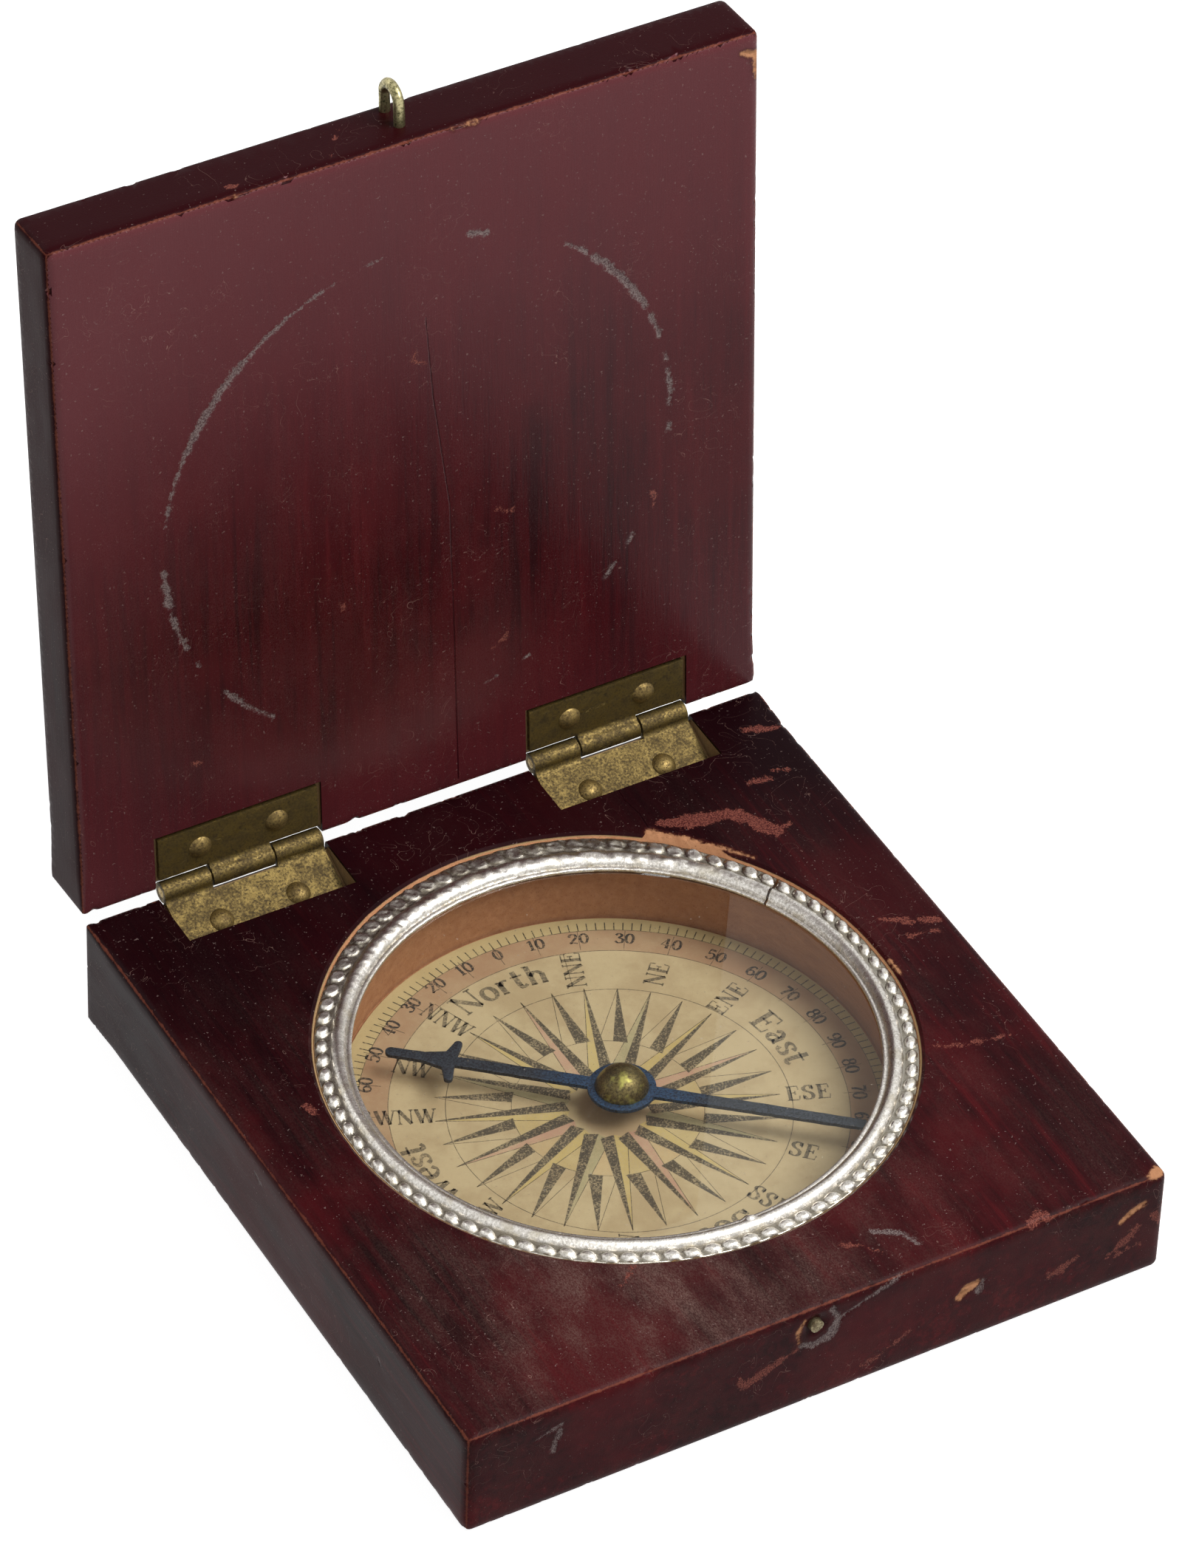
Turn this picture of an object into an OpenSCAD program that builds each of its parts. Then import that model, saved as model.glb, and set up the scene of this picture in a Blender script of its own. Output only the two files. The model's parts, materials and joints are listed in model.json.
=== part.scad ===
// Pocket compass in a square mahogany box with a flat hinged lid.
// A printed card lies on the floor of a round well. A glass covers the well and is held down
// by a split ring with a beaded border. The needle turns on a pointed pin, and the lid turns
// on two small brass hinges, drawn open.
// X runs along the hinges, Y from the front to the hinges, and Z up from the underside.

/* [Box] */
// Width of the box, along the hinges
box_width = 70; // [62:1:100]
// Depth of the box, from its front to its hinged side
box_depth = 72; // [66:1:100]
// Height of the base
base_height = 11.6; // [11.2:0.1:20]
// Thickness of the lid
lid_thickness = 6.5; // [5.5:0.1:12]
// Radius of the worn edges
edge_round = 0.5; // [0.2:0.1:1]
// Gap between the base and the closed lid
lid_gap = 0.3; // [0.25:0.05:0.6]
// Angle at which the lid stands open
lid_angle = 94; // [0:1:180]

/* [Well] */
// Diameter of the well round the card
well_diameter = 50.4; // [46:0.1:52.5]
// Wood left under the card
floor_thickness = 3.5; // [3:0.1:3.8]
// How far the well's centre lies behind the box's centre
well_shift = 0.5; // [-1:0.1:1]

/* [Glass and ring] */
// Outer diameter of the ring
ring_diameter = 54; // [52.5:0.1:56]
// Diameter of the ring's opening
ring_opening = 47.3; // [45:0.1:48.5]
// Depth of the ring's seat on the glass, below the top of the base
ring_seat_depth = 0.9; // [0.75:0.05:1.1]
// Height of the ring's flat foot
ring_foot = 0.35; // [0.25:0.05:0.5]
// Height of the smooth round above the glass
round_height = 1.05; // [0.8:0.05:1.1]
// Width of the smooth round
round_width = 1.6; // [1.2:0.1:1.8]
// Width of the beaded band
band_width = 1.35; // [1.2:0.05:1.6]
// Height of the beaded band under its beads
band_height = 0.5; // [0.45:0.05:0.55]
// Diameter of one bead
bead_diameter = 1.15; // [0.9:0.05:1.3]
// Distance from one bead to the next
bead_pitch = 1.8; // [1.6:0.01:3]
// Width of the split in the ring
split_width = 0.16; // [0.1:0.02:0.4]
// Bearing of the split, from the right toward the hinges
split_angle = 27; // [0:1:360]
// Slant of the split against the ring's radius
split_slant = 12; // [-40:1:40]
// Thickness of the glass
glass_thickness = 1.6; // [1:0.1:2]
// Width of the bevel round the ring's seat
seat_bevel = 0.45; // [0.2:0.05:0.7]

/* [Card] */
// Thickness of the card
card_thickness = 0.25; // [0.15:0.05:0.5]
// Gap round the card
card_clearance = 0.3; // [0.1:0.05:1]

/* [Needle] */
// Length of the pointing half, from the pivot
needle_tip = 21.6; // [18:0.1:22.4]
// Length of the plain half, from the pivot
needle_tail = 22.3; // [18:0.1:22.4]
// Thickness of the needle
needle_thickness = 0.4; // [0.3:0.05:0.6]
// Width of the needle beside its hub
needle_root_width = 1.4; // [1.2:0.1:2]
// Width of the needle at its ends
needle_end_width = 1.05; // [0.8:0.05:1.2]
// Distance of the cross arms from the pivot
arm_position = 15.6; // [10:0.1:17]
// Reach of a cross arm from the needle's middle
arm_reach = 2.6; // [1.8:0.1:3.5]
// Width of a cross arm at its end
arm_width = 0.8; // [0.6:0.05:1]
// Length of the flare that leads into the arms
arm_flare = 2.6; // [1.5:0.1:4]
// Diameter of the hub
hub_diameter = 6.2; // [5.4:0.1:8]
// Bearing of the needle's tip, from the right toward the hinges
needle_angle = 140; // [0:1:360]

/* [Cap and pivot] */
// Diameter of the domed cap
cap_diameter = 4.9; // [4.4:0.1:5.4]
// Height of the dome over the needle
cap_height = 2; // [1.6:0.05:2.1]
// Gap between the top of the cap and the glass
cap_clearance = 0.55; // [0.3:0.05:0.9]
// Diameter of the cap's spigot in the hub
spigot_diameter = 2.6; // [2.2:0.1:3]
// Diameter of the cone bored into the cap
cone_diameter = 1.8; // [1.4:0.1:2]
// Wood and card held by the pivot pin below the card's face
pivot_depth = 2.6; // [2:0.1:2.8]
// Diameter of the pivot pin
pivot_diameter = 1.2; // [0.8:0.1:1.2]
// How far the pivot stands to the right of the well's middle
pivot_shift_x = 0.4; // [-1:0.1:1]
// How far the pivot stands behind the well's middle
pivot_shift_y = -0.4; // [-1:0.1:1]
// Length of the pivot pin's cone
pivot_cone = 1.7; // [1.5:0.1:2]
// Height of the pivot's point over the needle's top
point_rise = 0.7; // [0.5:0.05:0.9]

/* [Hinges] */
// Distance of a hinge's end from the side of the box
hinge_inset = 7.8; // [4:0.1:9]
// Length of a hinge
hinge_length = 16.2; // [14:0.1:18]
// Length of the middle knuckle
middle_knuckle = 6.4; // [4:0.1:8]
// Gap between neighbouring knuckles
knuckle_gap = 0.2; // [0.1:0.05:0.4]
// Distance of the hinge axis behind the box
hinge_setback = 0.65; // [0.5:0.05:1]
// Distance from the hinge axis to the face of a leaf
leaf_offset = 0.05; // [0:0.05:0.2]
// Thickness of the brass sheet
sheet_thickness = 0.5; // [0.4:0.05:0.6]
// Diameter of the hinge pin
hinge_pin_diameter = 1; // [0.8:0.05:1.2]
// Running clearance round the pin in the middle knuckle
pin_clearance = 0.04; // [0.02:0.01:0.08]
// Reach of a leaf from the hinge axis
leaf_reach = 5.9; // [5.6:0.1:6.2]
// Clearance round a knuckle in the wood and in the other leaf
knuckle_clearance = 0.35; // [0.15:0.05:0.5]
// Radius of the bend where a leaf rises to its knuckle
knuckle_bend = 0.6; // [0.3:0.05:0.8]
// Slope of the ramp under the base leaf
ramp_angle = 24; // [20:1:27]
// Length of the recess in the base, from the back
recess_length = 6; // [5.6:0.1:7]
// Gap between a leaf's edges and the wood beside it
leaf_clearance = 0.4; // [0.2:0.1:0.8]

/* [Nails] */
// Distance between the two nails of a leaf
nail_spacing = 7.8; // [7:0.1:9]
// Distance of the lid nails from the hinge axis
lid_nail_reach = 3.6; // [3.2:0.1:4]
// Distance of the base nails from the hinge axis
base_nail_reach = 4.4; // [4:0.1:4.5]
// Diameter of a nail's head
nail_head_diameter = 2.3; // [1.8:0.1:2.4]
// Height of a nail's domed head
nail_head_height = 0.55; // [0.4:0.05:0.65]
// Diameter of a nail's shank
nail_diameter = 0.9; // [0.7:0.05:1.1]
// Length of a nail under its head
nail_length = 4.6; // [4:0.1:5]

/* [Lid eye and latch pin] */
// Distance of the eye to the right of the box's middle
eye_position = 0.4; // [-5:0.1:5]
// Height of the eye's middle over the lid's inner face
eye_height = 3.9; // [2.5:0.1:4]
// Diameter of the eye's wire
eye_wire = 1; // [0.8:0.1:1.2]
// Distance between the middles of the eye's two legs
eye_leg_spacing = 2.7; // [2.4:0.1:3]
// Straight length of the legs outside the wood
eye_leg_out = 2; // [1:0.1:4]
// Length of the legs in the wood
eye_leg_in = 5; // [3:0.5:8]
// Distance of the latch pin to the left of the box's middle
pin_position = 0.8; // [-5:0.1:5]
// Distance of the latch pin below the top of the base
pin_drop = 2.1; // [1.8:0.1:2.8]
// Diameter of the latch pin
latch_pin_diameter = 1.3; // [1:0.1:1.6]
// How far the broken pin stands out of the wood
latch_pin_out = 0.3; // [0.1:0.1:1]
// Length of the latch pin in the wood
latch_pin_in = 5; // [3:0.5:5.5]
// Width of the hollow worn round the latch pin
hollow_width = 2.6; // [2:0.1:3]
// Depth of the hollow
hollow_depth = 0.35; // [0.2:0.05:0.6]

/* [Hidden] */
$fn = 64;

// Cuts run this far past the faces that they open
over = 1;
// Play between the ring and its seat, and between the glass and its seat
ring_play = 0.05;
glass_play = 0.15;
// Gap between the point of the pivot and the top of the cone that rests on it
point_play = 0.03;

front_y = -box_depth / 2;
back_y = box_depth / 2;
lid_face_z = base_height + lid_gap;

ring_r = ring_diameter / 2;
opening_r = ring_opening / 2;
seat_r = ring_r + ring_play;
glass_top_z = base_height - ring_seat_depth;
glass_z = glass_top_z - glass_thickness;
band_middle_r = ring_r - band_width / 2;
bead_count = floor(2 * PI * band_middle_r / bead_pitch);
round_middle_r = ring_r - band_width - round_width / 2;

card_top_z = floor_thickness + card_thickness;
needle_z = glass_z - cap_clearance - cap_height - needle_thickness;
needle_top_z = needle_z + needle_thickness;
point_z = needle_top_z + point_rise;
pivot_foot_z = card_top_z - pivot_depth;

knuckle_r = hinge_pin_diameter / 2 + sheet_thickness;
axis_y = back_y + hinge_setback;
axis_z = lid_face_z - leaf_offset;
leaf_back = leaf_offset + sheet_thickness;
notch_reach = knuckle_r + knuckle_clearance;
bend_z = knuckle_bend - leaf_offset;
bend_y = -sqrt(pow(knuckle_r + knuckle_bend, 2) - pow(bend_z, 2));
middle_end = (middle_knuckle - knuckle_gap) / 2;
outer_start = (middle_knuckle + knuckle_gap) / 2;
hinge_x = box_width / 2 - hinge_inset - hinge_length / 2;
recess_width = hinge_length + 2 * leaf_clearance;

eye_r = eye_leg_spacing / 2;

// Height of the ramp under a base leaf, at a distance y from the box's middle
function ramp_z(y) = axis_z + (y - axis_y) * tan(ramp_angle) - leaf_back / cos(ramp_angle);

module rounded_rectangle(width, depth, radius) {
    square([width - 2 * radius, depth], center = true);
    square([width, depth - 2 * radius], center = true);
    for (x = [-1, 1], y = [-1, 1])
        translate([x * (width / 2 - radius), y * (depth / 2 - radius)])
            circle(radius);
}

// A block on the plane z = 0 with every edge rounded
module rounded_block(width, depth, height, radius) {
    intersection() {
        linear_extrude(height)
            rounded_rectangle(width, depth, radius);
        translate([0, depth / 2, height / 2])
            rotate([90, 0, 0])
                linear_extrude(depth)
                    rounded_rectangle(width, height, radius);
        translate([-width / 2, 0, height / 2])
            rotate([90, 0, 90])
                linear_extrude(width)
                    rounded_rectangle(depth, height, radius);
    }
}

// A cylinder along X, centred at the origin
module rod_x(length, radius) {
    rotate([0, 90, 0])
        cylinder(h = length, r = radius, center = true);
}

module at_well() {
    translate([0, well_shift, 0])
        children();
}

module at_pivot() {
    translate([pivot_shift_x, well_shift + pivot_shift_y, 0])
        children();
}

// Turns what is drawn on the closed lid to the lid's open place
module on_lid() {
    translate([0, axis_y, axis_z])
        rotate([-lid_angle, 0, 0])
            translate([0, -axis_y, -axis_z])
                children();
}

// Side is -1 for the left hinge and 1 for the right one, and the origin is on the hinge axis
module at_hinge(side) {
    translate([side * hinge_x, axis_y, axis_z])
        children();
}

module on_ramp(side) {
    at_hinge(side)
        rotate([ramp_angle, 0, 0])
            children();
}

module at_nails() {
    for (x = [-1, 1])
        translate([x * nail_spacing / 2, 0, 0])
            children();
}

// Places for a lid leaf's nails, with Z into the wood
module at_lid_nails(side) {
    at_hinge(side)
        translate([0, -lid_nail_reach, leaf_offset])
            at_nails()
                children();
}

// Places for a base leaf's nails, with Z into the wood
module at_base_nails(side) {
    on_ramp(side)
        translate([0, -base_nail_reach, -leaf_offset])
            at_nails()
                rotate([180, 0, 0])
                    children();
}

module nail_shank() {
    cylinder(h = nail_length, d = nail_diameter);
}

module nail() {
    dome_r = (pow(nail_head_diameter / 2, 2) + pow(nail_head_height, 2)) / (2 * nail_head_height);
    nail_shank();
    mirror([0, 0, 1])
        rotate_extrude()
            intersection() {
                translate([0, nail_head_height - dome_r])
                    circle(dome_r);
                square([nail_head_diameter / 2, nail_head_height]);
            }
}

module hinge_recess(side) {
    front = back_y - recess_length;
    back = back_y + over;
    translate([side * hinge_x - recess_width / 2, 0, 0])
        rotate([90, 0, 90])
            linear_extrude(recess_width)
                polygon([
                    [front, ramp_z(front)],
                    [back, ramp_z(back)],
                    [back, base_height + over],
                    [front, base_height + over],
                ]);
    at_hinge(side)
        rod_x(recess_width, notch_reach);
}

module base_block() {
    color("#3f1418")
    difference() {
        rounded_block(box_width, box_depth, base_height, edge_round);
        at_well() {
            translate([0, 0, floor_thickness])
                cylinder(h = base_height, d = well_diameter);
            translate([0, 0, glass_z])
                cylinder(h = base_height, r = seat_r);
            translate([0, 0, base_height - seat_bevel])
                cylinder(h = 2 * seat_bevel, r1 = seat_r, r2 = seat_r + 2 * seat_bevel);
        }
        at_pivot()
            translate([0, 0, pivot_foot_z])
                cylinder(h = pivot_depth, d = pivot_diameter);
        for (side = [-1, 1]) {
            hinge_recess(side);
            at_base_nails(side)
                nail_shank();
        }
        translate([-pin_position, front_y, base_height - pin_drop])
            rotate([-90, 0, 0]) {
                cylinder(h = latch_pin_in, d = latch_pin_diameter);
                hollow_r = (pow(hollow_width / 2, 2) + pow(hollow_depth, 2)) / (2 * hollow_depth);
                translate([0, 0, hollow_depth - hollow_r])
                    sphere(hollow_r);
            }
    }
}

module lid_panel() {
    leaf_front = axis_y - leaf_reach - leaf_clearance;
    color("#5a1a1e")
    on_lid()
        difference() {
            translate([0, 0, lid_face_z])
                rounded_block(box_width, box_depth, lid_thickness, edge_round);
            for (side = [-1, 1]) {
                translate([side * hinge_x - recess_width / 2, leaf_front, lid_face_z - over])
                    cube([recess_width, box_depth, sheet_thickness + over]);
                at_hinge(side)
                    rod_x(recess_width, notch_reach);
                at_lid_nails(side)
                    nail_shank();
            }
            at_eye()
                for (z = [-1, 1])
                    translate([0, 0, z * eye_r])
                        rotate([-90, 0, 0])
                            cylinder(h = eye_leg_in, d = eye_wire);
        }
}

module compass_card() {
    color("#cbb78a")
    translate([0, 0, floor_thickness])
        difference() {
            at_well()
                cylinder(h = card_thickness, d = well_diameter - 2 * card_clearance);
            at_pivot()
                translate([0, 0, -over])
                    cylinder(h = card_thickness + 2 * over, d = pivot_diameter);
        }
}

module glass_cover() {
    color([0.8, 0.85, 0.85, 0.3])
    at_well()
        translate([0, 0, glass_z])
            cylinder(h = glass_thickness, r = seat_r - glass_play);
}

// Half section of the ring, with its foot on the glass at y = 0
module ring_section() {
    translate([opening_r, 0])
        square([ring_r - opening_r, ring_foot]);
    translate([ring_r - band_width, 0])
        square([band_width, band_height]);
    intersection() {
        translate([round_middle_r, round_height - round_width / 2])
            circle(round_width / 2);
        translate([opening_r, 0])
            square([ring_r - opening_r, round_height]);
    }
}

module bead() {
    rotate_extrude($fn = 24)
        intersection() {
            circle(d = bead_diameter);
            square(bead_diameter);
        }
}

module bezel_ring() {
    color("#a9a9a2")
    at_well()
        translate([0, 0, glass_top_z])
            difference() {
                union() {
                    rotate_extrude($fn = 128)
                        ring_section();
                    for (i = [0 : bead_count - 1])
                        rotate(i * 360 / bead_count)
                            translate([band_middle_r, 0, band_height])
                                bead();
                }
                rotate(split_angle)
                    translate([(opening_r + ring_r) / 2, 0, 0])
                        rotate(split_slant)
                            cube([ring_diameter - ring_opening, split_width, 4 * round_height],
                                center = true);
            }
}

// One cross arm: a flare from the needle's edge that ends in a round tip
module cross_arm() {
    polygon([
        [arm_position + arm_flare, needle_end_width / 2],
        [arm_position + arm_flare / 4, needle_end_width],
        [arm_position + arm_width / 4, arm_reach - arm_width / 2],
        [arm_position - arm_width * 3 / 4, arm_reach - arm_width / 2],
        [arm_position - arm_width / 2, 0],
        [arm_position + arm_flare, 0],
    ]);
    translate([arm_position - arm_width / 4, arm_reach - arm_width / 2])
        circle(arm_width / 2, $fn = 24);
}

module needle_outline() {
    end_r = needle_end_width / 2;
    root_r = needle_root_width / 2;
    tip_x = needle_tip - end_r;
    tail_x = needle_tail - end_r;
    polygon([
        [tip_x, end_r], [0, root_r], [-tail_x, end_r],
        [-tail_x, -end_r], [0, -root_r], [tip_x, -end_r],
    ]);
    for (x = [tip_x, -tail_x])
        translate([x, 0])
            circle(end_r, $fn = 24);
    circle(d = hub_diameter);
    for (side = [0, 1])
        mirror([0, side])
            cross_arm();
}

module needle() {
    color("#2c3e5c")
    at_pivot()
        translate([0, 0, needle_z])
            rotate(needle_angle)
                linear_extrude(needle_thickness)
                    difference() {
                        needle_outline();
                        circle(d = spigot_diameter);
                    }
}

module needle_cap() {
    dome_r = (pow(cap_diameter / 2, 2) + pow(cap_height, 2)) / (2 * cap_height);
    color("#a08c3c")
    at_pivot()
        difference() {
            union() {
                translate([0, 0, needle_z])
                    cylinder(h = needle_thickness, d = spigot_diameter);
                translate([0, 0, needle_top_z])
                    rotate_extrude()
                        intersection() {
                            translate([0, cap_height - dome_r])
                                circle(dome_r);
                            square([cap_diameter / 2, cap_height]);
                        }
            }
            translate([0, 0, needle_z])
                cylinder(h = point_z + point_play - needle_z, d1 = cone_diameter, d2 = 0);
        }
}

module pivot_pin() {
    color("#8b8b86")
    at_pivot() {
        translate([0, 0, pivot_foot_z])
            cylinder(h = point_z - pivot_cone - pivot_foot_z, d = pivot_diameter);
        translate([0, 0, point_z - pivot_cone])
            cylinder(h = pivot_cone, d1 = pivot_diameter, d2 = 0);
    }
}

// Section across a knuckle and the sheet that bends up to it, with the leaf's face up
module knuckle_section(bore_r) {
    difference() {
        union() {
            circle(knuckle_r);
            translate([-leaf_reach / 2, -leaf_back])
                square([leaf_reach / 2, sheet_thickness]);
            difference() {
                polygon([
                    [bend_y, -leaf_back + sheet_thickness / 2],
                    [0, -leaf_back + sheet_thickness / 2],
                    [0, 0],
                    [bend_y, bend_z],
                ]);
                translate([bend_y, bend_z])
                    circle(knuckle_bend);
            }
        }
        circle(bore_r);
    }
}

// A leaf with its face up, and a knuckle over each span of its length
module leaf(spans, bore_r) {
    translate([-hinge_length / 2, -leaf_reach, -leaf_back])
        cube([hinge_length, leaf_reach - notch_reach, sheet_thickness]);
    for (span = spans)
        translate([span[0], 0, 0])
            rotate([90, 0, 90])
                linear_extrude(span[1] - span[0])
                    knuckle_section(bore_r);
}

module lid_leaf(side) {
    color("#9c8a45")
    on_lid()
        difference() {
            at_hinge(side)
                mirror([0, 0, 1])
                    leaf([[-middle_end, middle_end]], hinge_pin_diameter / 2 + pin_clearance);
            at_lid_nails(side)
                nail_shank();
        }
}

module base_leaf(side) {
    end = hinge_length / 2;
    color("#9c8a45")
    difference() {
        on_ramp(side)
            leaf([[-end, -outer_start], [outer_start, end]], hinge_pin_diameter / 2);
        at_base_nails(side)
            nail_shank();
    }
}

module hinge_pin(side) {
    color("#7d6f3a")
    at_hinge(side)
        rod_x(hinge_length, hinge_pin_diameter / 2);
}

module lid_nails(side) {
    color("#b08a4a")
    on_lid()
        at_lid_nails(side)
            nail();
}

module base_nails(side) {
    color("#b08a4a")
    at_base_nails(side)
        nail();
}

// The middle of the eye on the lid's front edge, with Y into the wood
module at_eye() {
    translate([eye_position, front_y, lid_face_z + eye_height])
        children();
}

module lid_eye() {
    color("#8f8f55")
    on_lid()
        at_eye() {
            for (z = [-1, 1])
                translate([0, -eye_leg_out, z * eye_r])
                    rotate([-90, 0, 0])
                        cylinder(h = eye_leg_out + eye_leg_in, d = eye_wire);
            translate([0, -eye_leg_out, 0])
                rotate([0, 90, 0])
                    rotate([0, 0, 180])
                        rotate_extrude(angle = 180)
                            translate([eye_r, 0])
                                circle(d = eye_wire);
        }
}

module latch_pin() {
    color("#b59a4e")
    translate([-pin_position, front_y - latch_pin_out, base_height - pin_drop])
        rotate([-90, 0, 0])
            cylinder(h = latch_pin_out + latch_pin_in, d = latch_pin_diameter);
}

base_block();
lid_panel();
compass_card();
glass_cover();
bezel_ring();
needle();
needle_cap();
pivot_pin();
lid_leaf(-1);  // left_hinge_lid_leaf
base_leaf(-1);  // left_hinge_base_leaf
hinge_pin(-1);  // left_hinge_pin
lid_leaf(1);  // right_hinge_lid_leaf
base_leaf(1);  // right_hinge_base_leaf
hinge_pin(1);  // right_hinge_pin
lid_nails(-1);  // left_lid_nails
base_nails(-1);  // left_base_nails
lid_nails(1);  // right_lid_nails
base_nails(1);  // right_base_nails
lid_eye();
latch_pin();
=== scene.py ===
"""Looks of the pocket compass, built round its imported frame.

Lengths in this script are in millimetres until a mesh is made. The lid is drawn open, so its
marks and grain are placed on the closed lid and turned with it.
"""

import json
import math

import bmesh
import bpy
import numpy as np
from mathutils import Matrix, Vector


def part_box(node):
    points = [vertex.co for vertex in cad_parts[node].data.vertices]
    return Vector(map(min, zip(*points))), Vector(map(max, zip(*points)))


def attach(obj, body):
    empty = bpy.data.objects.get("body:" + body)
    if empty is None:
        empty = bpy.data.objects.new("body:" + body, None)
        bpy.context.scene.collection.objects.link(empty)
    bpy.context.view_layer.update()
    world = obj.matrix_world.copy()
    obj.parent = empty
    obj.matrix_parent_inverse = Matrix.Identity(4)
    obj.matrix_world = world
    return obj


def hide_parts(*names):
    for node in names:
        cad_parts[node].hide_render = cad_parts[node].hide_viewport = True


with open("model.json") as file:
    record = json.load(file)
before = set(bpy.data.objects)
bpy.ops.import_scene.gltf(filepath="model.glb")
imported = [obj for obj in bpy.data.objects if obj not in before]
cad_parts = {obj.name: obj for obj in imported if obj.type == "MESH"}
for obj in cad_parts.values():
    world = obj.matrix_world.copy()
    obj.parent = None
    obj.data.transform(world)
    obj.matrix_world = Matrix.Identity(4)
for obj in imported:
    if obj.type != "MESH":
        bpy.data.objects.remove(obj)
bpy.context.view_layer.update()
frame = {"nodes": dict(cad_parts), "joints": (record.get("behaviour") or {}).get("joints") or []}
nodes = frame["nodes"]

MM = 0.001


def span(node):
    """Lowest and highest corner of a CAD node, in millimetres."""
    low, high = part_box(node)
    return np.array(low) / MM, np.array(high) / MM


# Places read from the frame
BASE_LOW, BASE_HIGH = span("base_block")
CARD_LOW, CARD_HIGH = span("compass_card")
RING_LOW, RING_HIGH = span("bezel_ring")
WELL = (CARD_LOW + CARD_HIGH)[:2] / 2
HALF_X = BASE_HIGH[0]
HALF_Y = BASE_HIGH[1]
TOP_Z = BASE_HIGH[2]
CARD_Z = CARD_HIGH[2]
CARD_R = (CARD_HIGH[0] - CARD_LOW[0]) / 2
GLASS_Z = span("glass_cover")[1][2]
RING_R = (RING_HIGH[0] - RING_LOW[0]) / 2

JOINTS = {joint["name"]: joint for joint in frame["joints"]}
HINGE = JOINTS["lid_hinge"]
HINGE_Y, HINGE_Z = (value / MM for value in HINGE["pos_m"][1:])
LID_OPEN = math.radians(-min(HINGE["range_deg"]))
PIVOT = np.array(JOINTS["needle_spin"]["pos_m"][:2]) / MM


def turned(points, angle):
    """Points turned about the hinge axis, positive as the lid closes."""
    c, s = math.cos(angle), math.sin(angle)
    y, z = points[:, 1] - HINGE_Y, points[:, 2] - HINGE_Z
    return np.column_stack([points[:, 0], HINGE_Y + y * c - z * s, HINGE_Z + y * s + z * c])


def closed(points):
    return turned(points, LID_OPEN)


def opened(points):
    return turned(points, -LID_OPEN)


LID_POINTS = closed(np.array([v.co for v in nodes["lid_panel"].data.vertices]) / MM)
LID_LOW, LID_HIGH = LID_POINTS.min(0), LID_POINTS.max(0)


def linear(red, green, blue):
    """A colour given in screen values from 0 to 255, for a shader."""
    def channel(value):
        value /= 255
        return value / 12.92 if value <= 0.04045 else ((value + 0.055) / 1.055) ** 2.4
    return channel(red), channel(green), channel(blue), 1.0


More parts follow.
